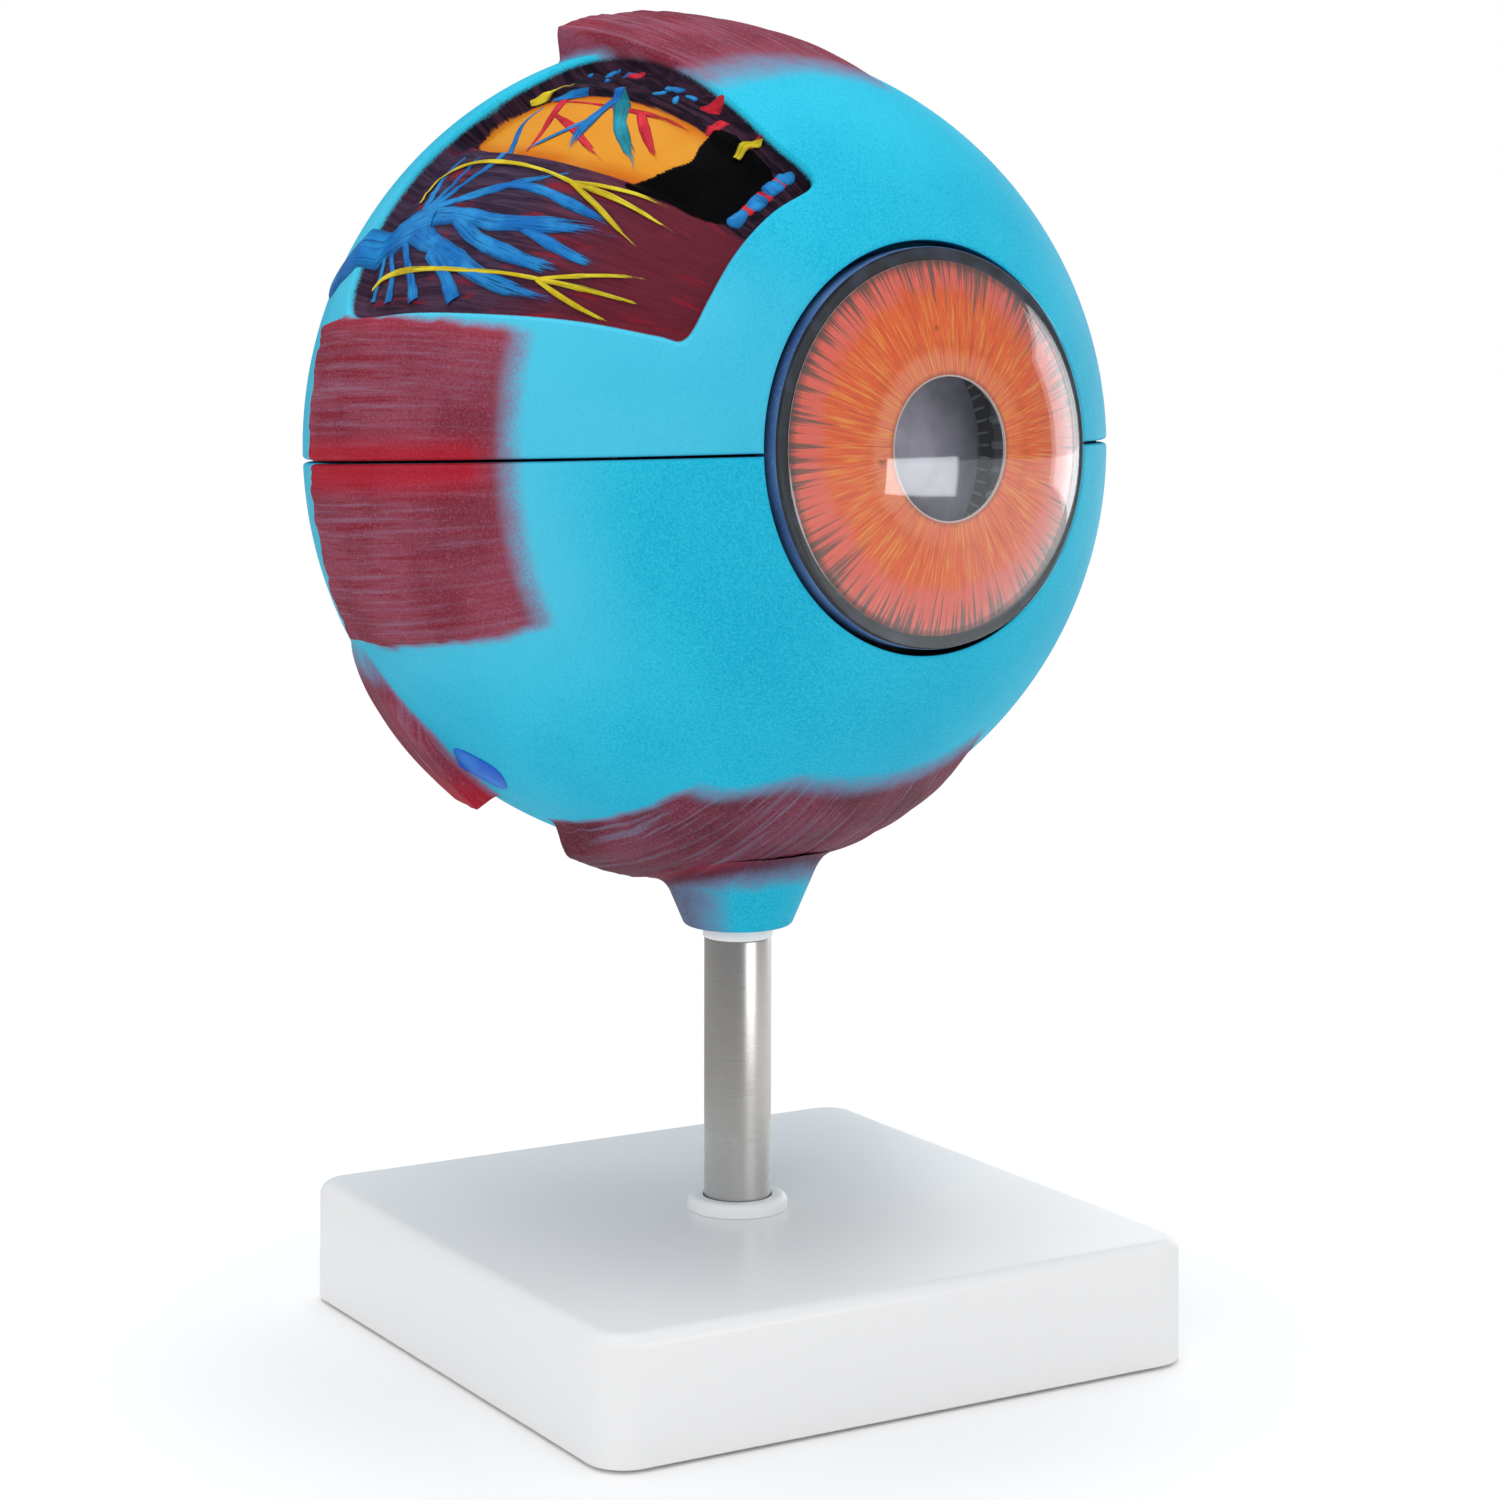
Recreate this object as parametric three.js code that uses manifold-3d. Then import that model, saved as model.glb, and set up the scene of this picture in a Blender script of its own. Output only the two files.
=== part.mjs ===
// Take-apart model of the human eye on a post and a square base, six times life size.
// Millimetres, +Z up. Origin: middle of the foot pad's underside, on the axis of the post.
// The eye looks towards -Y, turned and tipped a little, and opens along its level seam.
import * as THREE from 'three';
import * as BufferGeometryUtils from 'three/addons/utils/BufferGeometryUtils.js';
import Module from 'manifold-3d';

const wasm = await Module();
wasm.setup();

// Base
const BASE_SIDE = 120;
const BASE_HEIGHT = 23;
const BASE_WALL = 3.4;
const BASE_CORNER = 7;
const BASE_EDGE = 2.4;
const BASE_DRAFT = 0.4;
const RIB_THICKNESS = 2.4;
const RIB_COUNT = 2;
const PAD_THICKNESS = 1.6;
const PAD_PROUD = 0.4;
const BOSS_WALL = 4.4;
const BOSS_FLOOR = 3;
const POST_SOCKET = 10.5;

// Post and its tie rod
const POST_RADIUS = 6.15;
const POST_WALL = 1;
const POST_SHOWN = 50.9;
const ROD_RADIUS = 2.5;
const ROD_END = 1.7;
const NUT_FLATS = 8;
const NUT_HEIGHT = 4;
const WASHER_RADIUS = 6.6;
const WASHER_THICKNESS = 1;
const COLLAR_RADIUS = 9.25;
const COLLAR_HEIGHT = 2.6;
const BUSH_RADIUS = 6.4;
const BUSH_FLANGE = 2;
const BUSH_SPIGOT = 8;

// Globe: a sphere in front and a flatter ellipsoid behind, round the optical axis
const GLOBE_RADIUS = 73.5;
const REAR_FLATTENING = 7.3;
const SCLERA_WALL = 6.5;
const CHOROID_WALL = 3.6;
const VITREOUS_WALL = 2.4;
const EYE_TURN = 6.3;
const EYE_TIP = 2.5;

// Neck under the globe, where the post carries it
const NECK_FORWARD = 11.6;
const NECK_LENGTH = 13.2;
const NECK_OVERLAP = 5.1;
const NECK_RADIUS = 9.8;
const NECK_TAPER = 0.42;
const NECK_FLOOR = 8.8;

// Front opening of the sclera and the unit that sits in it
const OPENING_RADIUS = 34.5;
const LEDGE_DEPTH = 4.9;
const LEDGE_WIDTH = 2.5;
const LIMBUS_GAP = 1;
const LIMBUS_WALL = 4.4;
const LIMBUS_PROUD = 1.3;
const CORNEA_CURVE = 46.6;
const CORNEA_WALL = 1.1;
const CORNEA_FLANGE = 1.7;
const FLANGE_THICKNESS = 0.8;
const IRIS_CURVE = 125;
const IRIS_THICKNESS = 0.45;
const IRIS_LAP = 2.1;
const IRIS_PLAY = 0.1;
const PUPIL_RADIUS = 12;

// Lens, and the ciliary body round it
const LENS_RADIUS = 22;
const LENS_FRONT_CURVE = 51;
const LENS_REAR_CURVE = 38;
const LENS_EDGE = 2;
const CILIARY_RADIUS = 26;
const CILIARY_DEPTH = 7.3;
const CILIARY_LIP = 1.3;
const CILIARY_FOLDS = 36;
const CILIARY_FOLD_HEIGHT = 1.8;
const VENT_RADIUS = 2;

// Dowels that line up the halves, at [alpha, beta] places on the seam
const SCLERA_DOWEL_RADIUS = 1.5;
const SCLERA_DOWEL_LENGTH = 9;
const SCLERA_DOWELS = [[48, 180], [48, 0], [125, 180], [125, 0]];
const CHOROID_DOWEL_RADIUS = 0.9;
const CHOROID_DOWEL_LENGTH = 6;
const CHOROID_DOWELS = [[75, 180], [75, 0]];

// Window in the upper sclera, whose floor steps down to the retina
const WINDOW_DEPTH = 3;
const PIGMENT_DEPTH = 3.7;
const RETINA_DEPTH = 4.4;
const WINDOW_CLEAR = 3;
const WINDOW_FRONT = 40;
const WINDOW_REAR = 98;
const WINDOW_LOW = 158.5;
const WINDOW_HIGH = 109.5;
const WINDOW_FLAP = 132;
const WINDOW_BORDER = 117;
const WINDOW_RIM = 3;
const RETINA_START = 0.22;

// Muscles, in degrees of alpha and beta; height is how far the cut end stands off the globe
const RECTI = [
  { beta: 183, half: 22.5, front: 60, end: 98.5, skew: 0, height: 3, lift: 0.8, fibres: 8 },
  { beta: -1, half: 20, front: 57, end: 97, skew: 0, height: 3.6, lift: 0.8, fibres: 8 },
  { beta: 91, half: 17.5, front: 60, end: 96, skew: 0, height: 6.6, lift: 1.9, fibres: 8 },
  { beta: -90, half: 28.5, front: 50, end: 90, skew: 0, height: 5.4, lift: 0.9, fibres: 11 },
];
const OBLIQUES = [
  { alpha: 104.5, half: 10.5, root: 207, end: 234.5, height: 4.7, fibres: 5 },
  { alpha: 106, half: 8, root: 82, end: 56, height: 3.6, fibres: 4 },
];
const FIBRE_RELIEF = 0.55;
const MUSCLE_ROOT = 2;
const MUSCLE_TOE = 0.3;
const STRAP_ROWS = 4;

// Optic nerve, off the rear pole towards the nose
const NERVE_ANGLE = 15;
const NERVE_RADIUS = 8.5;
const NERVE_LENGTH = 13;
const SHEATH_RADIUS = 10.5;
const SHEATH_FLARE = 1.5;
const SHEATH_STEP = 2;

// Clearances
const SEAM_GAP = 0.5;
const FIT = 0.3;
const NEST = 0.4;
const RUNNING = 0.1;

// Facets
const ROUND = 32;
const SMALL_ROUND = 16;
const DOWEL_SIDES = 12;
const NERVE_SIDES = 24;
const SHELL_SIDES = 24;
const SHELL_STEP = 15;
const GLOBE_STEP = 10;
const CAP_STEPS = 4;

const DEGREE = Math.PI / 180;

const paint = (color, roughness, metalness = 0) => {
  return new THREE.MeshStandardMaterial({ color, roughness, metalness });
};
const WHITE_PLASTIC = paint(0xe9eaec, 0.4);
const FOAM = paint(0x2c2c2e, 0.95);
const STEEL = paint(0xb9b7b2, 0.3, 1);
const ZINC = paint(0xa8abb0, 0.45, 1);
const TURQUOISE = paint(0x3cb4d8, 0.6);
const CHOROID_PAINT = paint(0x5a1f2a, 0.6);
const CLEAR = paint(0xe6eef2, 0.1);
const SLATE = paint(0x4369a0, 0.5);
const IRIS_PRINT = paint(0xd96a33, 0.5);

// Solids from closed geometries, and back

function solidOf(geometry) {
  const bare = geometry.clone();
  bare.deleteAttribute('normal');
  bare.deleteAttribute('uv');
  const merged = BufferGeometryUtils.mergeVertices(bare, 1e-4);
  const corners = merged.index.array;
  const kept = [];
  for (let i = 0; i < corners.length; i += 3) {
    const [a, b, c] = [corners[i], corners[i + 1], corners[i + 2]];
    if (a !== b && b !== c && c !== a) kept.push(a, b, c);
  }
  const vertProperties = new Float32Array(merged.attributes.position.array);
  return new wasm.Manifold(new wasm.Mesh({ numProp: 3, vertProperties, triVerts: new Uint32Array(kept) }));
}

function geometryOf(solid) {
  const result = solid.getMesh();
  const geometry = new THREE.BufferGeometry();
  geometry.setAttribute('position', new THREE.BufferAttribute(new Float32Array(result.vertProperties), 3));
  geometry.setIndex(new THREE.BufferAttribute(new Uint32Array(result.triVerts), 1));
  geometry.computeVertexNormals();
  return geometry;
}

const joined = (first, ...rest) => rest.reduce((sum, solid) => sum.add(solid), first);
const cut = (first, ...rest) => rest.reduce((sum, solid) => sum.subtract(solid), first);

function indexedGeometry(positions, faces) {
  const geometry = new THREE.BufferGeometry();
  geometry.setAttribute('position', new THREE.Float32BufferAttribute(positions, 3));
  geometry.setIndex(faces);
  return geometry;
}

// Turned shapes round Z; a profile point is [radius, height], and the outside runs upwards
function turnedGeometry(profile, sides) {
  const points = profile.map(([radius, height]) => new THREE.Vector2(radius, height));
  return new THREE.LatheGeometry(points, sides).rotateX(Math.PI / 2);
}

const turned = (profile, sides = ROUND) => solidOf(turnedGeometry(profile, sides));
const rodProfile = (radius, low, high) => [[0, low], [radius, low], [radius, high], [0, high]];
const cylinder = (radius, low, high, sides = ROUND) => turned(rodProfile(radius, low, high), sides);

function ring(inner, outer, low, high, sides = ROUND) {
  return turned([[inner, low], [outer, low], [outer, high], [inner, high], [inner, low]], sides);
}

function block(width, depth, low, high, x = 0, y = 0) {
  return solidOf(new THREE.BoxGeometry(width, depth, high - low).translate(x, y, (low + high) / 2));
}

// A loft of rounded squares; each level is [height, half side, corner radius]
function squareLoft(levels) {
  const steps = 4;
  const outline = ([height, half, corner]) => {
    const points = [];
    for (let quarter = 0; quarter < 4; quarter += 1) {
      const turn = quarter * 90 * DEGREE;
      const centre = new THREE.Vector2(half - corner, half - corner);
      centre.rotateAround(new THREE.Vector2(), turn);
      for (let step = 0; step <= steps; step += 1) {
        const angle = turn + (step / steps) * 90 * DEGREE;
        points.push([centre.x + corner * Math.cos(angle), centre.y + corner * Math.sin(angle), height]);
      }
    }
    return points;
  };
  const rows = levels.map(outline);
  const count = rows[0].length;
  const top = (rows.length - 1) * count;
  const faces = [];
  for (let start = 0; start < top; start += count) {
    for (let i = 0; i < count; i += 1) {
      const [a, b] = [start + i, start + ((i + 1) % count)];
      faces.push(a, b, b + count, a, b + count, a + count);
    }
  }
  for (let i = 1; i + 1 < count; i += 1) {
    faces.push(0, i + 1, i, top, top + i, top + i + 1);
  }
  return solidOf(indexedGeometry(rows.flat(2), faces));
}

// The eye's own frame: the optical axis is -Y and the seam is the plane Z = 0.
// Alpha is the angle from the front pole, beta the angle round the axis from +X, in degrees.
// A depth is a distance forwards from the globe's centre along the axis.

function shellRadius(alpha, size) {
  const along = Math.cos(alpha * DEGREE);
  const across = Math.sin(alpha * DEGREE);
  const half = along > 0 ? size : size - REAR_FLATTENING;
  return 1 / Math.hypot(across / size, along / half);
}

function eyePoint(alpha, beta, radius) {
  const out = radius * Math.sin(alpha * DEGREE);
  const depth = radius * Math.cos(alpha * DEGREE);
  return [out * Math.cos(beta * DEGREE), -depth, out * Math.sin(beta * DEGREE)];
}

const shellDepth = (size, out) => Math.sqrt(size * size - out * out);

// Half section of a shell from the rear pole to a depth, as [radius, depth] points.
// All shells bend at the same angles, so their facets stay parallel.
function shellArc(size, front = size, step = SHELL_STEP) {
  const points = [];
  for (let alpha = 180; alpha >= 0; alpha -= step) {
    const radius = shellRadius(alpha, size);
    const out = alpha % 180 === 0 ? 0 : radius * Math.sin(alpha * DEGREE);
    const depth = radius * Math.cos(alpha * DEGREE);
    if (depth > front) {
      const [lastOut, lastDepth] = points.at(-1);
      const share = (front - lastDepth) / (depth - lastDepth);
      return [...points, [lastOut + (out - lastOut) * share, front]];
    }
    points.push([out, depth]);
  }
  return points;
}

// A spherical cap between two radii; the rim lies at the base depth, and bulge -1 faces back
function capArc(curve, rim, base, from, to, bulge = 1) {
  const points = [];
  for (let step = 0; step <= CAP_STEPS; step += 1) {
    const out = from + ((to - from) * step) / CAP_STEPS;
    points.push([out, base + bulge * (shellDepth(curve, out) - shellDepth(curve, rim))]);
  }
  return points;
}

// Solid of revolution round the optical axis; its facets straddle the seam evenly.
// The profile runs forwards on the outside.
function round(profile, sides = ROUND) {
  const points = profile.map(([radius, depth]) => new THREE.Vector2(radius, -depth)).reverse();
  return solidOf(new THREE.LatheGeometry(points, sides, Math.PI / 2 + Math.PI / sides));
}

const disc = (radius, back, front, sides = ROUND) => round(rodProfile(radius, back, front), sides);
const shellBody = (size, sides, step) => round(shellArc(size, size, step), sides);

// A curved slab over a patch of the globe. Place gives [alpha, beta] for u and v from 0 to 1;
// floor and roof give the distance from the sclera's outer surface.
function patch(across, along, place, floor, roof) {
  const positions = [];
  for (const level of [floor, roof]) {
    for (let j = 0; j <= along; j += 1) {
      for (let i = 0; i <= across; i += 1) {
        const [u, v] = [i / across, j / along];
        const [alpha, beta] = place(u, v);
        positions.push(...eyePoint(alpha, beta, shellRadius(alpha, GLOBE_RADIUS) + level(u, v)));
      }
    }
  }
  const row = across + 1;
  const layer = row * (along + 1);
  const [origin, aside, ahead] = [place(0, 0), place(1, 0), place(0, 1)];
  const [asideAlpha, asideBeta] = [aside[0] - origin[0], aside[1] - origin[1]];
  const [aheadAlpha, aheadBeta] = [ahead[0] - origin[0], ahead[1] - origin[1]];
  const turn = asideBeta * aheadAlpha - asideAlpha * aheadBeta;
  const faces = [];
  const quad = (a, b, c, d) => (turn > 0 ? faces.push(a, c, b, a, d, c) : faces.push(a, b, c, a, c, d));
  for (let j = 0; j < along; j += 1) {
    for (let i = 0; i < across; i += 1) {
      const a = j * row + i;
      quad(a, a + row, a + row + 1, a + 1);
      quad(layer + a, layer + a + 1, layer + a + row + 1, layer + a + row);
    }
  }
  for (let i = 0; i < across; i += 1) {
    const far = along * row + i;
    quad(i, i + 1, layer + i + 1, layer + i);
    quad(far, layer + far, layer + far + 1, far + 1);
  }
  for (let j = 0; j < along; j += 1) {
    const near = j * row;
    const far = near + across;
    quad(near, layer + near, layer + near + row, near + row);
    quad(far, far + row, layer + far + row, layer + far);
  }
  return solidOf(indexedGeometry(positions, faces));
}

// Upright shapes in the turned and tipped eye: the neck and the bores for the tie rod

const neckBottom = BASE_HEIGHT + POST_SHOWN + BUSH_FLANGE + FIT;
const eyeHeight = neckBottom + NECK_LENGTH + shellDepth(GLOBE_RADIUS, NECK_FORWARD);
const eye = new THREE.Group();
eye.rotation.set(-EYE_TIP * DEGREE, 0, EYE_TURN * DEGREE, 'ZYX');
const behindPost = new THREE.Vector2(0, NECK_FORWARD).rotateAround(new THREE.Vector2(), EYE_TURN * DEGREE);
eye.position.set(behindPost.x, behindPost.y, eyeHeight);
eye.updateMatrixWorld(true);
const toEye = eye.matrixWorld.clone().invert();
const upright = (profile, sides) => solidOf(turnedGeometry(profile, sides).applyMatrix4(toEye));

const model = new THREE.Group();
model.add(eye);

function add(parent, name, solid, material) {
  const mesh = new THREE.Mesh(geometryOf(solid), material);
  mesh.name = name;
  parent.add(mesh);
}

// Base: a hollow moulding with ribs and a boss for the post, closed below by a foam pad

const baseHalf = BASE_SIDE / 2;
const hollowHalf = baseHalf - BASE_WALL;
const hollowTop = BASE_HEIGHT - BASE_WALL;
const ribBottom = PAD_THICKNESS + RUNNING;
const postBottom = BASE_HEIGHT - POST_SOCKET;
const pocketTop = postBottom - BOSS_FLOOR;
const rodBore = ROD_RADIUS + FIT;

function baseOutside() {
  const levels = [[PAD_PROUD, baseHalf, BASE_CORNER]];
  const shoulder = BASE_HEIGHT - BASE_EDGE;
  const fillets = 4;
  for (let step = 0; step <= fillets; step += 1) {
    const angle = (step / fillets) * 90 * DEGREE;
    const inset = BASE_DRAFT + BASE_EDGE * (1 - Math.cos(angle));
    levels.push([shoulder + BASE_EDGE * Math.sin(angle), baseHalf - inset, BASE_CORNER - inset]);
  }
  return squareLoft(levels);
}

function baseHollow() {
  const corner = BASE_CORNER - BASE_WALL;
  return squareLoft([[0, hollowHalf, corner], [hollowTop, hollowHalf - BASE_DRAFT, corner]]);
}

function baseRibs() {
  const ribs = [];
  const length = 2 * hollowHalf + BASE_WALL;
  for (let k = 1; k <= RIB_COUNT; k += 1) {
    const place = hollowHalf * ((2 * k) / (RIB_COUNT + 1) - 1);
    ribs.push(block(length, RIB_THICKNESS, ribBottom, hollowTop + RUNNING, 0, place));
    ribs.push(block(RIB_THICKNESS, length, ribBottom, hollowTop + RUNNING, place, 0));
  }
  return ribs;
}

const boss = cylinder(POST_RADIUS + BOSS_WALL, ribBottom, hollowTop + RUNNING);
const pocket = cylinder(WASHER_RADIUS + 2 * FIT, 0, pocketTop);
const boreThrough = cylinder(rodBore, pocketTop - 1, postBottom + 1, SMALL_ROUND);
const postSocket = cylinder(POST_RADIUS + FIT / 2, postBottom, BASE_HEIGHT + 1);
const baseBody = joined(cut(baseOutside(), baseHollow()), ...baseRibs(), boss);
add(model, 'base_plate', cut(baseBody, pocket, boreThrough, postSocket), WHITE_PLASTIC);

const padHalf = hollowHalf - FIT;
const padCorner = BASE_CORNER - BASE_WALL - FIT;
add(model, 'foot_pad', squareLoft([[0, padHalf, padCorner], [PAD_THICKNESS, padHalf, padCorner]]), FOAM);

// Post: a steel tube clamped between base and globe by a tie rod

const postTop = BASE_HEIGHT + POST_SHOWN;
const tubeBore = POST_RADIUS - POST_WALL;
add(model, 'post_tube', ring(tubeBore, POST_RADIUS, postBottom, postTop), STEEL);

function collarProfile() {
  const inner = POST_RADIUS + FIT / 2;
  const edge = COLLAR_HEIGHT / 2;
  const points = [[inner, BASE_HEIGHT], [COLLAR_RADIUS, BASE_HEIGHT]];
  for (const angle of [0, 45, 90]) {
    const lift = edge * Math.sin(angle * DEGREE);
    points.push([COLLAR_RADIUS - edge * (1 - Math.cos(angle * DEGREE)), BASE_HEIGHT + edge + lift]);
  }
  points.push([inner, BASE_HEIGHT + COLLAR_HEIGHT], [inner, BASE_HEIGHT]);
  return points;
}
add(model, 'base_collar', turned(collarProfile()), WHITE_PLASTIC);

const bushTop = postTop + BUSH_FLANGE;
const bushProfile = [
  [rodBore, postTop - BUSH_SPIGOT],
  [tubeBore - FIT / 2, postTop - BUSH_SPIGOT],
  [tubeBore - FIT / 2, postTop],
  [BUSH_RADIUS, postTop],
  [BUSH_RADIUS, bushTop],
  [rodBore, bushTop],
  [rodBore, postTop - BUSH_SPIGOT],
];
add(model, 'top_bush', turned(bushProfile), WHITE_PLASTIC);

// Stacks of washer and nut at both ends of the rod; the upper one holds the globe and lets it turn
const neckFloorTop = neckBottom + NECK_FLOOR;
const upperWasher = neckFloorTop + FIT;
const upperNut = upperWasher + WASHER_THICKNESS;
const lowerWasher = pocketTop - WASHER_THICKNESS;
const lowerNut = lowerWasher - NUT_HEIGHT;
const rodBottom = lowerNut - ROD_END;
const rodTop = upperNut + NUT_HEIGHT + ROD_END;

const nutCorner = NUT_FLATS / 2 / Math.cos(30 * DEGREE);
const threadBore = (low, high) => cylinder(ROD_RADIUS + RUNNING, low - 1, high + 1, SMALL_ROUND);
const nut = (low) => cut(cylinder(nutCorner, low, low + NUT_HEIGHT, 6), threadBore(low, low + NUT_HEIGHT));
const washer = (low) => ring(ROD_RADIUS + RUNNING, WASHER_RADIUS, low, low + WASHER_THICKNESS, SMALL_ROUND);

add(model, 'tie_rod', cylinder(ROD_RADIUS, rodBottom, rodTop, SMALL_ROUND), ZINC);
add(model, 'base_washer', washer(lowerWasher), ZINC);
add(model, 'base_nut', nut(lowerNut), ZINC);
add(model, 'swivel_washer', washer(upperWasher), ZINC);
add(model, 'swivel_nut', nut(upperNut), ZINC);

// Sizes of the nested shells and the stations along the optical axis

const scleraInside = GLOBE_RADIUS - SCLERA_WALL;
const choroidOutside = scleraInside - NEST;
const choroidInside = choroidOutside - CHOROID_WALL;
const vitreousOutside = choroidInside - NEST;
const vitreousInside = vitreousOutside - VITREOUS_WALL;

const openingDepth = shellDepth(GLOBE_RADIUS, OPENING_RADIUS);
const ledgeRadius = OPENING_RADIUS - LEDGE_WIDTH;
const ledgeDepth = openingDepth - LEDGE_DEPTH;
const choroidFront = shellDepth(scleraInside, ledgeRadius) - NEST;
const ciliaryBack = choroidFront - CILIARY_DEPTH;
const lensMiddle = ciliaryBack;
const lensBack = lensMiddle - LENS_EDGE / 2;
const lensFront = lensMiddle + LENS_EDGE / 2;
const vitreousFront = lensBack - FIT;

// Muscles: straps that leave the globe towards their cut ends, ribbed with fibres

const edgeFall = (u) => 1 - Math.abs(2 * u - 1) ** 10;
const fibreRidge = (u, fibres) => (Math.round(u * fibres * 2) % 2 === 0 ? -FIBRE_RELIEF : 0);

function rectus({ beta, half, front, end, skew, height, lift, fibres }) {
  const place = (u, v) => [front + (end - skew * (2 * u - 1) - front) * v, beta + half * (2 * u - 1)];
  const fibre = (u, v) => fibreRidge(u, fibres) * Math.min(1, 3 * v);
  const roof = (u, v) => (height * v ** lift + fibre(u, v)) * edgeFall(u) - MUSCLE_TOE * (1 - v);
  return patch(fibres * 2, STRAP_ROWS, place, () => -MUSCLE_ROOT, roof);
}

function oblique({ alpha, half, root, end, height, fibres }) {
  const place = (u, v) => [alpha + half * (2 * u - 1), root + (end - root) * v];
  const strap = (u, v) => height * v ** 0.6 + fibreRidge(u, fibres) * v;
  const roof = (u, v) => strap(u, v) * edgeFall(u) - MUSCLE_TOE * (1 - v);
  return patch(fibres * 2, STRAP_ROWS, place, () => -MUSCLE_ROOT, roof);
}

// Window: a recess over the upper outer quarter, whose floor steps down to the retina

function windowCut(depth, low, high, front, rear, cornering) {
  const place = (u, v) => {
    const beta = low + (high - low) * u;
    const rounded = cornering * Math.abs(2 * u - 1) ** 3;
    return [front + (rear - rounded - front) * v, beta];
  };
  return patch(6, 7, place, () => -depth, () => WINDOW_CLEAR);
}

function windowCuts() {
  const retinaFront = WINDOW_FRONT + (WINDOW_REAR - WINDOW_FRONT) * RETINA_START;
  const flap = [WINDOW_FLAP, WINDOW_BORDER];
  return [
    windowCut(WINDOW_DEPTH, WINDOW_LOW, WINDOW_HIGH, WINDOW_FRONT, WINDOW_REAR, 7),
    windowCut(PIGMENT_DEPTH, ...flap, WINDOW_FRONT + WINDOW_RIM, retinaFront + WINDOW_RIM, 0),
    windowCut(RETINA_DEPTH, ...flap, retinaFront, WINDOW_REAR - WINDOW_RIM, 9),
  ];
}

// Sclera

const neckReach = NECK_LENGTH + NECK_OVERLAP;
const neckProfile = [
  [0, neckBottom],
  [NECK_RADIUS, neckBottom],
  [NECK_RADIUS + NECK_TAPER * neckReach, neckBottom + neckReach],
  [0, neckBottom + neckReach],
];
const nutPocket = upright(rodProfile(WASHER_RADIUS + 4 * FIT, neckFloorTop, eyeHeight), SMALL_ROUND);
const neckBore = upright(rodProfile(rodBore, neckBottom - 1, neckFloorTop + 1), SMALL_ROUND);

// The optic nerve's stub: the sheath ends short of the nerve inside it
function opticNerve() {
  const root = shellRadius(180 - NERVE_ANGLE, scleraInside) + 1;
  const end = shellRadius(180 - NERVE_ANGLE, GLOBE_RADIUS) + NERVE_LENGTH;
  const profile = [
    [0, root],
    [SHEATH_RADIUS + SHEATH_FLARE, root],
    [SHEATH_RADIUS, root + SCLERA_WALL + SHEATH_FLARE],
    [SHEATH_RADIUS, end - SHEATH_STEP],
    [NERVE_RADIUS, end - SHEATH_STEP],
    [NERVE_RADIUS, end],
    [0, end],
  ];
  const points = profile.map(([radius, height]) => new THREE.Vector2(radius, height));
  const stub = new THREE.LatheGeometry(points, NERVE_SIDES, Math.PI / 2 + Math.PI / NERVE_SIDES);
  return solidOf(stub.rotateZ(-NERVE_ANGLE * DEGREE));
}

const scleraOutside = shellBody(GLOBE_RADIUS, ROUND, GLOBE_STEP);
const reliefs = [...RECTI.map(rectus), ...OBLIQUES.map(oblique)];
const openings = [
  shellBody(scleraInside, SHELL_SIDES),
  disc(OPENING_RADIUS, ledgeDepth, GLOBE_RADIUS + 1),
  disc(ledgeRadius, 0, ledgeDepth + 1),
];
const neck = upright(neckProfile, ROUND);
const scleraWhole = cut(joined(scleraOutside, ...reliefs, opticNerve(), neck), ...openings);

const span = 3 * GLOBE_RADIUS;
const below = block(span, span, -span, SEAM_GAP / 2);
const above = block(span, span, -SEAM_GAP / 2, span);

// Dowels stand in the lower half's seam face, at [angle, side] places in the middle of a wall
function dowels(places, size, radius, length) {
  return places.map(([alpha, beta]) => {
    const [x, y] = eyePoint(alpha, beta, shellRadius(alpha, size));
    const pin = (r, half) => turnedGeometry(rodProfile(r, -half, half), DOWEL_SIDES).translate(x, y, 0);
    return { pin: solidOf(pin(radius, length / 2)), hole: solidOf(pin(radius + FIT, length / 2 + FIT)) };
  });
}

const scleraMiddle = GLOBE_RADIUS - SCLERA_WALL / 2;
const scleraDowels = dowels(SCLERA_DOWELS, scleraMiddle, SCLERA_DOWEL_RADIUS, SCLERA_DOWEL_LENGTH);
const scleraHoles = scleraDowels.map(({ hole }) => hole);
add(eye, 'lower_sclera', cut(scleraWhole, above, neckBore, nutPocket, ...scleraHoles), TURQUOISE);
add(eye, 'upper_sclera', cut(scleraWhole, below, ...windowCuts(), ...scleraHoles), TURQUOISE);
scleraDowels.forEach(({ pin }, i) => add(eye, `sclera_dowel_${i + 1}`, pin, STEEL));

// Choroid: a thin shell whose front lip carries the ciliary body's folds

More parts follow.
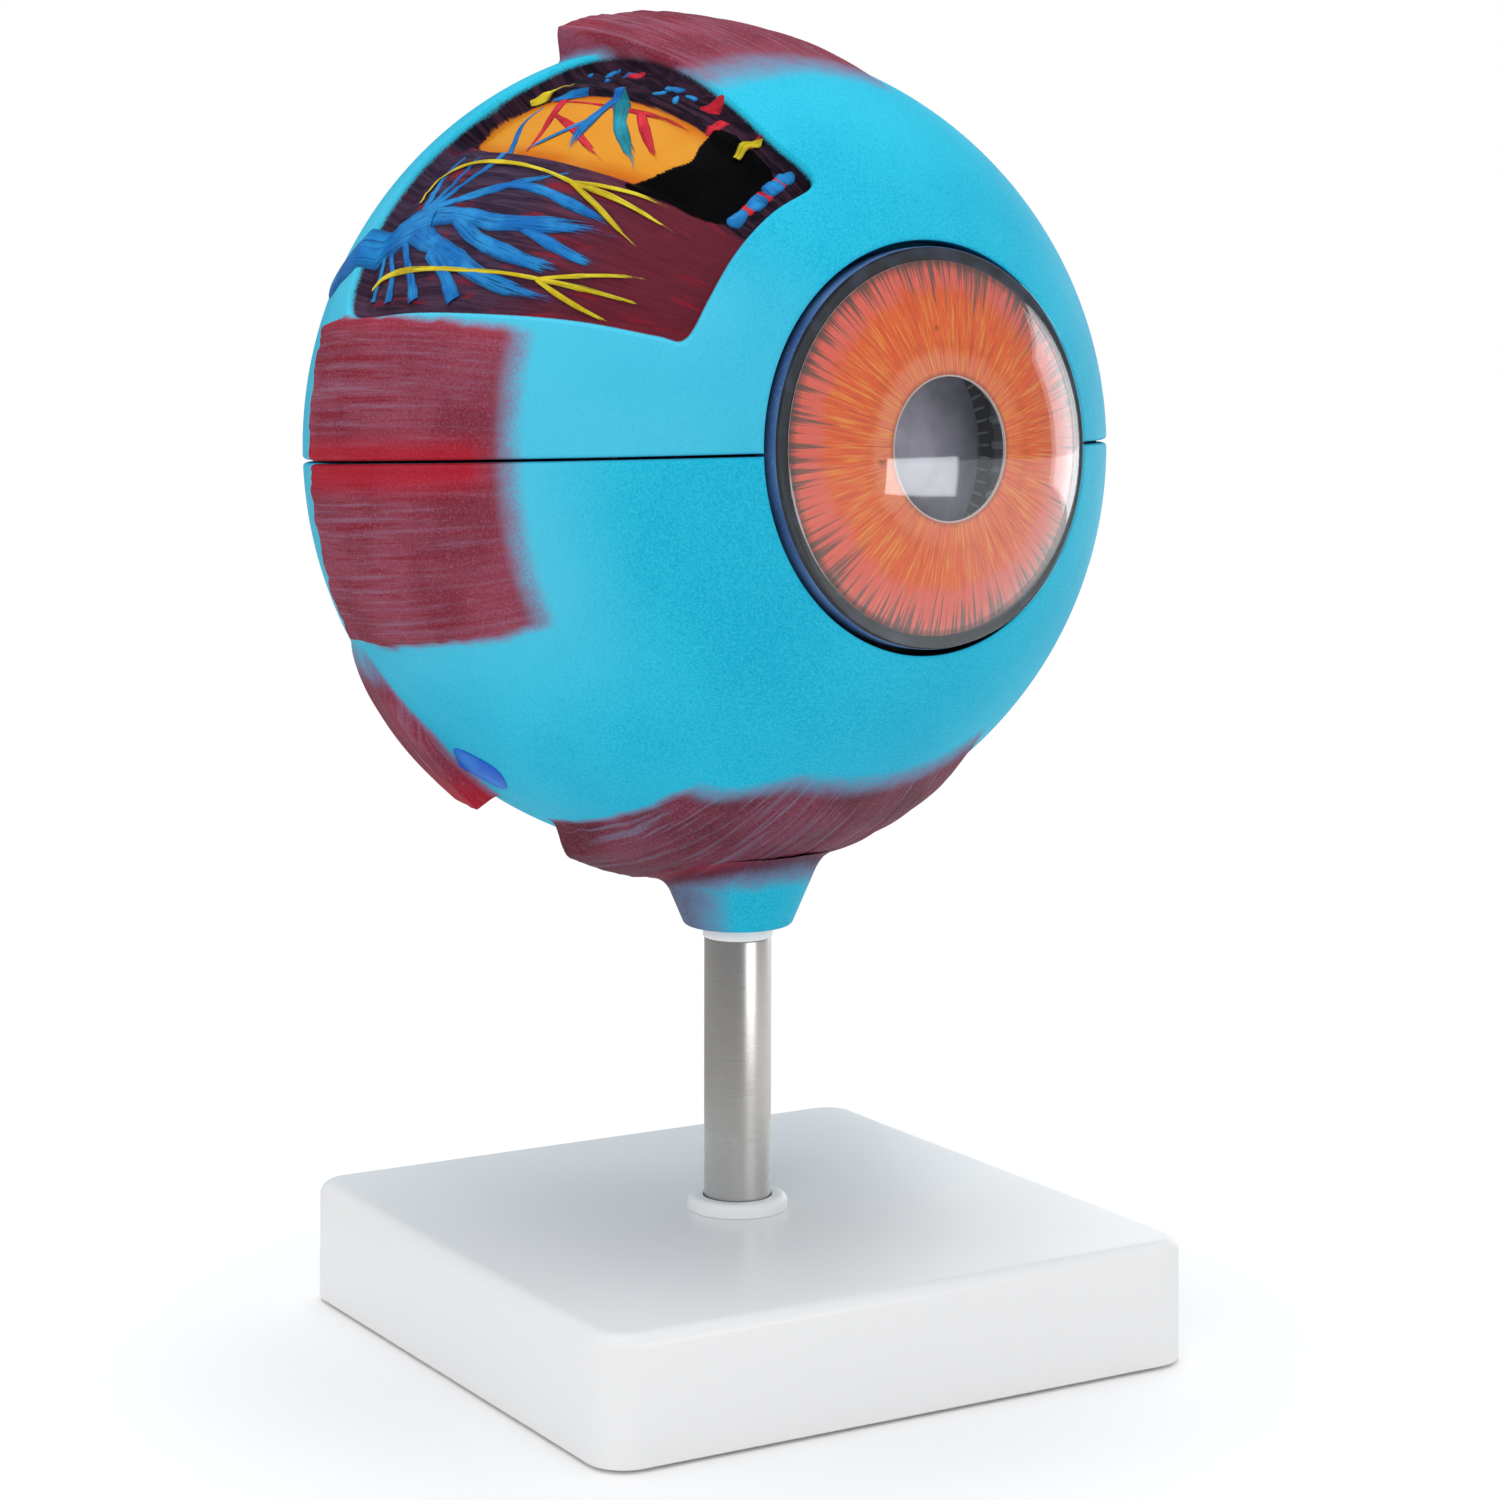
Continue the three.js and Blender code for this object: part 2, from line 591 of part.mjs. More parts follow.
function ciliaryFolds() {
  const root = CILIARY_RADIUS + CHOROID_WALL / 2;
  const section = (crest) => [
    [root, ciliaryBack + RUNNING],
    [root, choroidFront - CILIARY_LIP - 1],
    [CILIARY_RADIUS - crest, ciliaryBack + CILIARY_DEPTH * 0.4],
    [CILIARY_RADIUS - crest * 0.7, ciliaryBack + RUNNING],
  ];
  const spokes = CILIARY_FOLDS * 2;
  const positions = [];
  const faces = [];
  const points = section(0).length;
  for (let spoke = 0; spoke < spokes; spoke += 1) {
    const beta = ((spoke + 0.5) / spokes) * 360 * DEGREE;
    for (const [out, depth] of section(spoke % 2 === 0 ? CILIARY_FOLD_HEIGHT : 0)) {
      positions.push(out * Math.cos(beta), -depth, out * Math.sin(beta));
    }
    const next = ((spoke + 1) % spokes) * points;
    for (let k = 0; k < points; k += 1) {
      const l = (k + 1) % points;
      const [a, b, c, d] = [spoke * points + k, spoke * points + l, next + l, next + k];
      faces.push(a, c, b, a, d, c);
    }
  }
  return solidOf(indexedGeometry(positions, faces));
}

const choroidProfile = [
  ...shellArc(choroidOutside, choroidFront),
  [CILIARY_RADIUS + CILIARY_LIP, choroidFront],
  [CILIARY_RADIUS, choroidFront - CILIARY_LIP],
  [CILIARY_RADIUS, ciliaryBack],
  ...shellArc(choroidInside, ciliaryBack).reverse(),
];
const choroidWhole = joined(round(choroidProfile, SHELL_SIDES), ciliaryFolds());
const choroidMiddle = choroidOutside - CHOROID_WALL / 2;
const choroidDowels = dowels(CHOROID_DOWELS, choroidMiddle, CHOROID_DOWEL_RADIUS, CHOROID_DOWEL_LENGTH);
const choroidHoles = choroidDowels.map(({ hole }) => hole);
add(eye, 'lower_choroid', cut(choroidWhole, above, ...choroidHoles), CHOROID_PAINT);
add(eye, 'upper_choroid', cut(choroidWhole, below, ...choroidHoles), CHOROID_PAINT);
choroidDowels.forEach(({ pin }, i) => add(eye, `choroid_dowel_${i + 1}`, pin, STEEL));

// Vitreous body: a clear hollow moulding with a seat for the lens and a vent in the seat

function lensSeat(sink, from, to) {
  return capArc(LENS_REAR_CURVE + sink, LENS_RADIUS, lensBack - sink, from, to, -1);
}

const vitreousProfile = [
  ...shellArc(vitreousOutside, vitreousFront),
  ...lensSeat(FIT, LENS_RADIUS, VENT_RADIUS),
  ...lensSeat(FIT + VITREOUS_WALL, VENT_RADIUS, LENS_RADIUS),
  ...shellArc(vitreousInside, vitreousFront - VITREOUS_WALL).reverse(),
];
add(eye, 'vitreous_body', round(vitreousProfile, SHELL_SIDES), CLEAR);

const lensProfile = [
  ...capArc(LENS_REAR_CURVE, LENS_RADIUS, lensBack, 0, LENS_RADIUS, -1),
  ...capArc(LENS_FRONT_CURVE, LENS_RADIUS, lensFront, LENS_RADIUS, 0),
];
add(eye, 'lens', round(lensProfile, SHELL_SIDES), CLEAR);

// Limbus ring, iris and cornea, one unit that lifts out of the opening

const limbusOuter = OPENING_RADIUS - LIMBUS_GAP;
const limbusInner = limbusOuter - LIMBUS_WALL;
const limbusBack = ledgeDepth + FIT;
const limbusFront = openingDepth + LIMBUS_PROUD;
const limbusProfile = [
  [limbusInner, limbusBack],
  [limbusOuter, limbusBack],
  [limbusOuter, limbusFront],
  [limbusInner, limbusFront],
  [limbusInner, limbusBack],
];
add(eye, 'limbus_ring', round(limbusProfile), SLATE);

const irisRadius = limbusInner + IRIS_LAP;
const irisBack = limbusFront + IRIS_PLAY;
const irisFace = (lift, from, to) => capArc(IRIS_CURVE, irisRadius, irisBack + lift, from, to);
const irisProfile = [
  ...irisFace(0, PUPIL_RADIUS, irisRadius),
  ...irisFace(IRIS_THICKNESS, irisRadius, PUPIL_RADIUS),
  [PUPIL_RADIUS, irisFace(0, PUPIL_RADIUS, irisRadius)[0][1]],
];
add(eye, 'iris', round(irisProfile), IRIS_PRINT);

const flangeOuter = limbusOuter - FIT;
const flangeBack = limbusFront + FIT;
const flangeFront = flangeBack + FLANGE_THICKNESS;
const domeRadius = flangeOuter - CORNEA_FLANGE;
const domeInner = domeRadius - CORNEA_WALL;
const recessRadius = irisRadius + 2 * IRIS_PLAY;
const recessDepth = irisBack + IRIS_THICKNESS + 3 * IRIS_PLAY;
const corneaProfile = [
  ...capArc(CORNEA_CURVE - CORNEA_WALL, domeInner, flangeFront, 0, domeInner),
  [domeInner, recessDepth],
  [recessRadius, recessDepth],
  [recessRadius, flangeBack],
  [flangeOuter, flangeBack],
  [flangeOuter, flangeFront],
  ...capArc(CORNEA_CURVE, domeRadius, flangeFront, domeRadius, 0),
];
add(eye, 'cornea', round(corneaProfile), CLEAR);

export default model;
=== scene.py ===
import math

import bpy
import numpy as np
from mathutils import Matrix, Vector


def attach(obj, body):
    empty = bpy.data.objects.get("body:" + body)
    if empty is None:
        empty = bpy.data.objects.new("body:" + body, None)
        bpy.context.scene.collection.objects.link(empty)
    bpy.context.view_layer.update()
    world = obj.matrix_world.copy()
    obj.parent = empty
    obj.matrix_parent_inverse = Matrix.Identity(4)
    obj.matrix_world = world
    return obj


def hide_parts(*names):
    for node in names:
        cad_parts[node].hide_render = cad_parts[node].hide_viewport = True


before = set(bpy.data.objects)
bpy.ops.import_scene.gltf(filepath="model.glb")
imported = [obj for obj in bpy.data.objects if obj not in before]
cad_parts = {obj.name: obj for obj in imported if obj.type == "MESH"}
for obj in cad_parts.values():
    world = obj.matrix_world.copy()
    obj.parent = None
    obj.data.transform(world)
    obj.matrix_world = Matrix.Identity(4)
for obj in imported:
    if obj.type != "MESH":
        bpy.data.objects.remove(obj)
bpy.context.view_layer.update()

MM = 0.001

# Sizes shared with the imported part, in millimetres and degrees
BASE_SIDE = 120
BASE_HEIGHT = 23
BASE_CORNER = 7
BASE_EDGE = 2.4
BASE_DRAFT = 0.4
PAD_PROUD = 0.4
PAD_SIDE = 112.6
PAD_THICKNESS = 1.6
PAD_CORNER = 3.3
POST_RADIUS = 6.15
POST_BOTTOM = 12.5
POST_TOP = 73.9
COLLAR_RADIUS = 9.25
COLLAR_HEIGHT = 2.6
BUSH_RADIUS = 6.4
BUSH_TOP = 75.9
ROD_BORE = 2.8
NECK_BOTTOM = 76.2
NECK_LENGTH = 13.2
NECK_FORWARD = 11.6
NECK_RADIUS = 9.8
NECK_TAPER = 0.42
NECK_FLOOR = 85.0
NUT_POCKET = 7.8

GLOBE = 73.5
REAR_FLATTENING = 7.3
SCLERA_INSIDE = 67.0
CHOROID_OUTSIDE = 66.6
CHOROID_INSIDE = 63.0
VITREOUS_OUTSIDE = 62.6
VITREOUS_WALL = 2.4
VITREOUS_INSIDE = VITREOUS_OUTSIDE - VITREOUS_WALL
SEAM = 0.25
INNER_SEAM = 0.04
EYE_TURN = 6.3
EYE_TIP = 2.5
EYE_HEIGHT = NECK_BOTTOM + NECK_LENGTH + math.sqrt(GLOBE**2 - NECK_FORWARD**2)

OPENING = 34.5
LEDGE_RADIUS = 32.0
LEDGE_DEPTH = 60.0
NERVE_ANGLE = 15
NERVE_RADIUS = 8.5
NERVE_LENGTH = 13
SHEATH_RADIUS = 10.5

turn = math.radians(EYE_TURN)
EYE = (
    Matrix.Translation((-NECK_FORWARD * math.sin(turn), NECK_FORWARD * math.cos(turn), EYE_HEIGHT))
    @ Matrix.Rotation(turn, 4, "Z")
    @ Matrix.Rotation(math.radians(-EYE_TIP), 4, "X")
)
EYE_ROTATION = np.array(EYE.to_3x3())
EYE_CENTRE = np.array(EYE.translation)
EYE_UP = EYE.to_3x3() @ Vector((0, 0, 1))


def in_world(points):
    """Points of the eye's own frame, in millimetres, as world points"""
    return np.asarray(points, float) @ EYE_ROTATION.T + EYE_CENTRE


def linear(red, green, blue):
    """A colour given as seen on a screen, 0 to 255, as linear light"""
    parts = [value / 255 for value in (red, green, blue)]
    return tuple(v / 12.92 if v <= 0.04045 else ((v + 0.055) / 1.055) ** 2.4 for v in parts) + (1.0,)


# Node trees


class Wire:
    """One value in a node tree; arithmetic on it adds the nodes that work it out"""

    def __init__(self, tree, socket):
        self.tree = tree
        self.socket = socket

    def math(self, operation, *others, clamp=False):
        settings = {"operation": operation, "use_clamp": clamp}
        return self.tree.node("ShaderNodeMath", settings, self, *others)

    def __add__(self, other):
        return self.math("ADD", other)

    def __sub__(self, other):
        return self.math("SUBTRACT", other)

    def __rsub__(self, other):
        return (self * -1) + other

    def __mul__(self, other):
        return self.math("MULTIPLY", other)

    def __truediv__(self, other):
        return self.math("DIVIDE", other)

    def __pow__(self, other):
        return self.math("POWER", other)

    __radd__ = __add__
    __rmul__ = __mul__

    def abs(self):
        return self.math("ABSOLUTE")

    def clamped(self):
        return self.math("ADD", 0.0, clamp=True)

    def step(self, low, high):
        """0 below low, 1 above high, smooth between them; low may be the larger"""
        turned = low > high
        ends = (high, low, 1, 0) if turned else (low, high, 0, 1)
        settings = {"interpolation_type": "SMOOTHSTEP"}
        return self.tree.node("ShaderNodeMapRange", settings, self, *ends)


class Tree:
    """A node tree, with one method that adds every node"""

    def __init__(self, tree):
        self.tree = tree

    def feed(self, socket, value):
        if isinstance(value, Wire):
            self.tree.links.new(value.socket, socket)
        else:
            socket.default_value = value

    def node(self, kind, settings=(), *values, output=0, **named):
        """A node with its settings, then the values or links of its live sockets; gives one output"""
        node = self.tree.nodes.new(kind)
        for key, value in dict(settings).items():
            setattr(node, key, value)
        for socket, value in zip([socket for socket in node.inputs if socket.enabled], values):
            self.feed(socket, value)
        for key, value in named.items():
            self.feed(node.inputs[key.replace("_", " ")], value)
        live = [socket for socket in node.outputs if socket.enabled]
        return Wire(self, live[output] if isinstance(output, int) else node.outputs[output])

    def parts(self, vector):
        node = self.node("ShaderNodeSeparateXYZ", (), vector).socket.node
        return [Wire(self, socket) for socket in node.outputs]

    def vector(self, operation, *values):
        return self.node("ShaderNodeVectorMath", {"operation": operation}, *values)


class Paint(Tree):
    """A material with a Principled shader and short ways to add nodes"""

    def __init__(self, name, roughness=0.5, metallic=0.0, color=None, **constants):
        self.material = bpy.data.materials.new(name)
        self.material.use_nodes = True
        super().__init__(self.material.node_tree)
        self.shader = self.tree.nodes["Principled BSDF"]
        self.set("Roughness", roughness)
        self.set("Metallic", metallic)
        if color:
            self.set("Base Color", color)
            self.material.diffuse_color = color
        for key, value in constants.items():
            self.set(key.replace("_", " "), value)

    def set(self, key, value):
        self.feed(self.shader.inputs[key], value)

    def attribute(self, name):
        return self.node("ShaderNodeAttribute", {"attribute_name": name}, output="Fac")

    def place(self, scale=(1, 1, 1)):
        """Object coordinates, in metres, stretched by a scale for each direction"""
        return self.vector("MULTIPLY", self.node("ShaderNodeTexCoord", output="Object"), scale)

    def polar(self, scale=(1, 1, 1)):
        """The mesh's own map: alpha and beta in degrees, or along and across a brush stroke in mm"""
        return self.vector("MULTIPLY", self.node("ShaderNodeUVMap", {"uv_map": "polar"}), scale)

    def noise(self, vector, scale=1.0, detail=2.0, roughness=0.5, twist=0.0):
        sizes = {"Scale": scale, "Detail": detail, "Roughness": roughness, "Distortion": twist}
        return self.node("ShaderNodeTexNoise", (), vector, **sizes)

    def cells(self, vector, scale=1.0, feature="F1"):
        return self.node("ShaderNodeTexVoronoi", {"feature": feature}, vector, Scale=scale)

    def mix(self, factor, first, second):
        return self.node("ShaderNodeMix", {"data_type": "RGBA"}, factor, first, second)

    def bump(self, height, strength, distance=0.2 * MM):
        sizes = {"Strength": strength, "Distance": distance, "Height": height}
        self.set("Normal", self.node("ShaderNodeBump", **sizes))


# Mesh helpers


def mesh_piece(name, points, faces, body, replaces, paint, fields=None, polar=None, sharp=35):
    """A mesh from world points in millimetres that rides on a body and stands for CAD nodes"""
    mesh = bpy.data.meshes.new(name)
    mesh.from_pydata((np.asarray(points, float) * MM).tolist(), [], [list(f) for f in faces])
    for key, values in (fields or {}).items():
        layer = mesh.attributes.new(key, "FLOAT", "POINT")
        layer.data.foreach_set("value", np.asarray(values, np.float32).ravel())
    if polar is not None:
        corners = np.empty(len(mesh.loops), np.int32)
        mesh.loops.foreach_get("vertex_index", corners)
        flat = np.asarray(polar, np.float32)[corners]
        mesh.uv_layers.new(name="polar").data.foreach_set("uv", flat.ravel())
    mesh.validate()
    mesh.shade_smooth()
    mesh.set_sharp_from_angle(angle=math.radians(sharp))
    piece = bpy.data.objects.new(name, mesh)
    bpy.context.scene.collection.objects.link(piece)
    mesh.materials.append(paint.material)
    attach(piece, body)
    if replaces:
        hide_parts(*replaces)
    return piece


def grid_faces(rows, columns, close_rows=False, close_columns=False, start=0):
    """Quads over a grid of points laid out row by row"""
    r = np.arange(rows if close_rows else rows - 1)
    c = np.arange(columns if close_columns else columns - 1)
    row, column = [side.ravel() for side in np.meshgrid(r, c, indexing="ij")]
    below = (row + 1) % rows
    beside = (column + 1) % columns
    quads = [(row, column), (row, beside), (below, beside), (below, column)]
    return (np.stack([r * columns + c for r, c in quads], 1) + start).tolist()


def lathe(profile, sides):
    """Points and faces of a closed ring profile of [radius, height] turned round Z"""
    turns = np.linspace(0, 2 * np.pi, sides, endpoint=False)
    profile = np.asarray(profile, float)
    x = np.outer(profile[:, 0], np.cos(turns))
    y = np.outer(profile[:, 0], np.sin(turns))
    z = np.repeat(profile[:, 1], sides).reshape(x.shape)
    points = np.stack([x, y, z], -1).reshape(-1, 3)
    return points, [f[::-1] for f in grid_faces(len(profile), sides, close_rows=True, close_columns=True)]


def rounded(profile, radii, steps=5):
    """A closed profile with its corners rounded by the given radii"""
    points = [np.asarray(p, float) for p in profile]
    result = []
    for k, (corner, radius) in enumerate(zip(points, radii)):
        if radius == 0:
            result.append(corner)
            continue
        before = points[k - 1] - corner
        after = points[(k + 1) % len(points)] - corner
        before /= np.linalg.norm(before)
        after /= np.linalg.norm(after)
        half = math.acos(np.clip(before @ after, -1, 1)) / 2
        middle = (before + after) / np.linalg.norm(before + after)
        centre = corner + middle * radius / math.sin(half)
        first = corner + before * radius / math.tan(half) - centre
        last = corner + after * radius / math.tan(half) - centre
        for t in np.linspace(0, 1, steps):
            way = first * (1 - t) + last * t
            result.append(centre + way / np.linalg.norm(way) * radius)
    return result


def spaced(start, end, stops):
    """Positions from start to end whose step follows [position, step] stops"""
    places, steps = zip(*stops)
    values = [start]
    while values[-1] < end:
        values.append(values[-1] + float(np.interp(values[-1], places, steps)))
    values = np.array(values)
    return start + (values - start) * (end - start) / (values[-1] - start)


def smooth(x, low, high):
    t = np.clip((x - low) / (high - low), 0, 1)
    return t * t * (3 - 2 * t)


class Shaper(Tree):
    """A Geometry Nodes tree in millimetres, with named sizes, that ends in one plain mesh"""

    def __init__(self, name, **sizes):
        super().__init__(bpy.data.node_groups.new(name, "GeometryNodeTree"))
        self.add_socket("Geometry", "INPUT", "NodeSocketGeometry")
        self.add_socket("Geometry", "OUTPUT", "NodeSocketGeometry")
        for key, value in sizes.items():
            kind = "NodeSocketInt" if isinstance(value, int) else "NodeSocketFloat"
            self.add_socket(key.replace("_", " ").title(), "INPUT", kind).default_value = value
        self.given = self.tree.nodes.new("NodeGroupInput")

    def add_socket(self, name, way, kind):
        return self.tree.interface.new_socket(name, in_out=way, socket_type=kind)

    def size(self, name):
        return Wire(self, self.given.outputs[name])

    def end(self, geometry, paint):
        whole = self.node("GeometryNodeRealizeInstances", (), geometry)
        whole = self.node("GeometryNodeSetShadeSmooth", (), whole)
        whole = self.node("GeometryNodeSetMaterial", (), whole, Material=paint.material)
        self.feed(self.tree.nodes.new("NodeGroupOutput").inputs[0], whole)

    def piece(self, name, mesh, body, slot, place=Matrix(), **sizes):
        """The tree's result on a mesh, put in its place and given to a body"""
        made = bpy.data.objects.new(name, mesh)
        bpy.context.scene.collection.objects.link(made)
        modifier = made.modifiers.new("shape", "NODES")
        modifier.node_group = self.tree
        for item in self.tree.interface.items_tree:
            key = item.name.lower().replace(" ", "_")
            if item.in_out == "INPUT" and key in sizes:
                modifier[item.identifier] = sizes[key]
        bpy.context.view_layer.update()
        shaped = made.evaluated_get(bpy.context.evaluated_depsgraph_get())
        result = bpy.data.meshes.new_from_object(shaped)
        made.modifiers.remove(modifier)
        result.transform(Matrix.Scale(MM, 4) @ place)
        made.data = result
        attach(made, body)


# Camera, floor and light

scene = bpy.context.scene
scene.view_settings.view_transform = "Standard"

CAMERA_PLACE = (-0.3174, -0.5358, 0.1939)
CAMERA_TURN = -30.84
CAMERA_PITCH = 7.84
CAMERA_ROLL = 0.125
CAMERA_LENS = 83.17

camera = bpy.data.objects.new("camera", bpy.data.cameras.new("camera"))
camera.data.sensor_width = 36
camera.data.lens = CAMERA_LENS
camera.data.clip_start = 0.01
camera.matrix_world = (
    Matrix.Translation(CAMERA_PLACE)
    @ Matrix.Rotation(math.radians(CAMERA_TURN), 4, "Z")
    @ Matrix.Rotation(math.radians(90 - CAMERA_PITCH), 4, "X")
    @ Matrix.Rotation(math.radians(CAMERA_ROLL), 4, "Z")
)
scene.collection.objects.link(camera)
scene.camera = camera

world = bpy.data.worlds.new("room")
world.use_nodes = True
scene.world = world
air = Tree(world.node_tree)
room = air.node("ShaderNodeBackground", (), (0.9, 0.9, 0.91, 1), 0.8)
dim = air.node("ShaderNodeBackground", (), (0.9, 0.92, 1, 1), 0.24)
backdrop = air.node("ShaderNodeBackground", (), (1, 1, 1, 1), 1.0)
mirrored = air.node("ShaderNodeLightPath", output="Is Glossy Ray")
seen = air.node("ShaderNodeLightPath", output="Is Camera Ray")
room = air.node("ShaderNodeMixShader", (), mirrored, room, dim)
room = air.node("ShaderNodeMixShader", (), seen, room, backdrop)
air.feed(air.tree.nodes["World Output"].inputs["Surface"], room)


def softbox(name, place, target, width, height, power, color=(1, 1, 1)):
    light = bpy.data.lights.new(name, "AREA")
    light.shape = "RECTANGLE"
    light.size, light.size_y = width, height
    light.energy = power
    light.color = color
    lamp = bpy.data.objects.new(name, light)
    lamp.location = place
    lamp.rotation_mode = "QUATERNION"
    lamp.rotation_quaternion = (Vector(target) - Vector(place)).to_track_quat("-Z", "Y")
    lamp.visible_camera = False
    scene.collection.objects.link(lamp)
    return lamp


key = softbox("key", (-0.75, -0.95, 0.95), (0, 0, 0.14), 0.7, 0.7, 3.6)
key.visible_glossy = False
top = softbox("top", (0, 0.1, 1.2), (0, 0, 0.1), 0.9, 0.9, 6.2)
top.visible_glossy = False
low_front = softbox("low_front", (0.15, -0.6, 0.078), (0, -0.02, 0.15), 0.34, 0.15, 0.6)
low_front.visible_diffuse = False
softbox("side", (0.8, 0.42, 0.24), (0, 0, 0.15), 0.9, 0.46, 1.7)

floor_paint = Paint("floor", roughness=0.9, color=(0.95, 0.95, 0.95, 1), Emission_Strength=1.0)
east, north = floor_paint.parts(floor_paint.place())[:2]
away = ((east * east + north * north) ** 0.5).step(0.07, 0.2)
floor_paint.set("Base Color", floor_paint.mix(away, (0.95, 0.95, 0.95, 1), (0, 0, 0, 1)))
dimmed = 0.6 - east.step(0.02, 0.25) * 0.5
mirrored = floor_paint.node("ShaderNodeLightPath", output="Is Glossy Ray")
glow = floor_paint.mix(away * (1 - mirrored * dimmed), (0, 0, 0, 1), (1, 1, 1, 1))
floor_paint.set("Emission Color", glow)
bpy.ops.mesh.primitive_plane_add(size=6, location=(0, 0, -0.0002))
floor = bpy.context.object
floor.name = "floor"
floor.data.materials.append(floor_paint.material)

# Base, post and fixings


def plain_plastic(name, color, roughness, grain):
    paint = Paint(name, roughness=roughness, color=color)
    speckle = paint.noise(paint.place(), scale=900, detail=3, roughness=0.6)
    cloud = paint.noise(paint.place(), scale=35, detail=3)
    tone = speckle * 0.06 + cloud * 0.05 + 0.93
    darker = tuple(0.8 * part for part in color[:3]) + (1,)
    paint.set("Base Color", paint.mix(tone.clamped(), darker, color))
    paint.set("Roughness", cloud * 0.14 + (roughness - 0.07))
    paint.bump(speckle, grain)
    return paint


base_paint = plain_plastic("base_white", (0.86, 0.86, 0.86, 1), 0.32, 0.05)
trim_paint = plain_plastic("white_trim", (0.94, 0.94, 0.94, 1), 0.4, 0.03)
pad_paint = plain_plastic("foam_pad", (0.03, 0.03, 0.032, 1), 0.9, 0.6)


def square_loft(levels, steps=10):
    """Points and faces of stacked rounded squares; a level is [height, half side, corner radius]"""
    points = []
    for height, half, corner in levels:
        for quarter in range(4):
            first = math.radians(90 * quarter)
            sense = Vector((half - corner, half - corner)) if corner else Vector((half, half))
            middle = Matrix.Rotation(first, 2) @ sense
            for step in range(steps + 1):
                angle = first + math.radians(90) * step / steps
                x = middle.x + corner * math.cos(angle)
                y = middle.y + corner * math.sin(angle)
                points.append((x, y, height))
    count = 4 * (steps + 1)
    faces = grid_faces(len(levels), count, close_columns=True)
    faces.append(list(range(count))[::-1])
    faces.append([len(points) - count + k for k in range(count)])
    return points, faces


def base_levels():
    half = BASE_SIDE / 2
    foot = 0.5
    levels = []
    for step in range(4):
        angle = math.radians(90 * step / 3)
        inset = foot * (1 - math.sin(angle))
        levels.append((PAD_PROUD + foot * (1 - math.cos(angle)), half - inset, BASE_CORNER - inset))
    shoulder = BASE_HEIGHT - BASE_EDGE
    for step in range(11):
        angle = math.radians(90 * step / 10)
        inset = BASE_DRAFT + BASE_EDGE * (1 - math.cos(angle))
        levels.append((shoulder + BASE_EDGE * math.sin(angle), half - inset, BASE_CORNER - inset))
    return levels


points, faces = square_loft(base_levels())
mesh_piece("base", points, faces, "stand", ["base_plate"], base_paint)
pad_levels = [(0, PAD_SIDE / 2, PAD_CORNER), (PAD_THICKNESS, PAD_SIDE / 2, PAD_CORNER)]
points, faces = square_loft(pad_levels)
mesh_piece("pad", points, faces, "stand", ["foot_pad"], pad_paint)

steel_paint = Paint("post_steel", roughness=0.28, metallic=1.0, color=(0.62, 0.6, 0.57, 1))
rings = steel_paint.noise(steel_paint.place((12, 12, 4200)), detail=4, roughness=0.65)
scratches = steel_paint.noise(steel_paint.place((60, 60, 900)), detail=2)
smudge = steel_paint.noise(steel_paint.place(), scale=60, detail=2)
steel_paint.set("Base Color", steel_paint.mix(rings, (0.5, 0.485, 0.46, 1), (0.72, 0.7, 0.67, 1)))
steel_paint.set("Roughness", scratches * 0.16 + smudge * 0.08 + 0.17)
steel_paint.bump(rings, 0.22, 0.05 * MM)

COLLAR_BORE = POST_RADIUS + 0.15
COLLAR_TOP = BASE_HEIGHT + COLLAR_HEIGHT
BUSH_BOTTOM = POST_TOP - 8
TUBE_BORE = POST_RADIUS - 1
SPIGOT_RADIUS = POST_RADIUS - 1.15


def turned_piece(name, node, paint, profile, radii, steps, sides):
    points, faces = lathe(rounded(profile, radii, steps), sides)
    mesh_piece(name, points, faces, "stand", [node], paint)


collar = [(COLLAR_BORE, BASE_HEIGHT), (COLLAR_RADIUS, BASE_HEIGHT)]
collar += [(COLLAR_RADIUS, COLLAR_TOP), (COLLAR_BORE, COLLAR_TOP)]
turned_piece("collar", "base_collar", trim_paint, collar, [0, 0.3, 1.25, 0.3], 8, 96)
bush = [(ROD_BORE, BUSH_BOTTOM), (SPIGOT_RADIUS, BUSH_BOTTOM), (SPIGOT_RADIUS, POST_TOP)]
bush += [(BUSH_RADIUS, POST_TOP), (BUSH_RADIUS, BUSH_TOP), (ROD_BORE, BUSH_TOP)]
turned_piece("bush", "top_bush", trim_paint, bush, [0, 0, 0, 0.35, 0.35, 0], 5, 96)
post = [(TUBE_BORE, POST_BOTTOM), (POST_RADIUS, POST_BOTTOM)]
post += [(POST_RADIUS, POST_TOP), (TUBE_BORE, POST_TOP)]
turned_piece("post", "post_tube", steel_paint, post, [0, 0.2, 0.25, 0], 4, 128)

zinc_paint = Paint("zinc_fixings", roughness=0.42, metallic=1.0, color=(0.6, 0.61, 0.64, 1))
spangle = zinc_paint.cells(zinc_paint.place(), scale=900)
zinc_paint.set("Base Color", zinc_paint.mix(spangle, (0.5, 0.52, 0.55, 1), (0.72, 0.72, 0.7, 1)))
zinc_paint.set("Roughness", spangle * 0.2 + 0.34)

dowel_paint = Paint("dowel_steel", roughness=0.3, metallic=1.0, color=(0.66, 0.66, 0.67, 1))
grinding = dowel_paint.noise(dowel_paint.place((200, 200, 5000)), detail=3)
dowel_paint.set("Roughness", grinding * 0.25 + 0.18)
# Near-black band round each dowel where it crosses the seam: painted shade, so the steel seen in the seam
# gap stays dark
east, north, up = dowel_paint.parts(dowel_paint.place())
level = east * EYE_UP.x + north * EYE_UP.y + up * EYE_UP.z - float(EYE_UP @ EYE.translation) * MM
seam_gap_shade = level.abs().step(0.0016, 0.0011)
dowel_paint.set("Base Color", dowel_paint.mix(seam_gap_shade, (0.66, 0.66, 0.67, 1), (0.02, 0.02, 0.022, 1)))

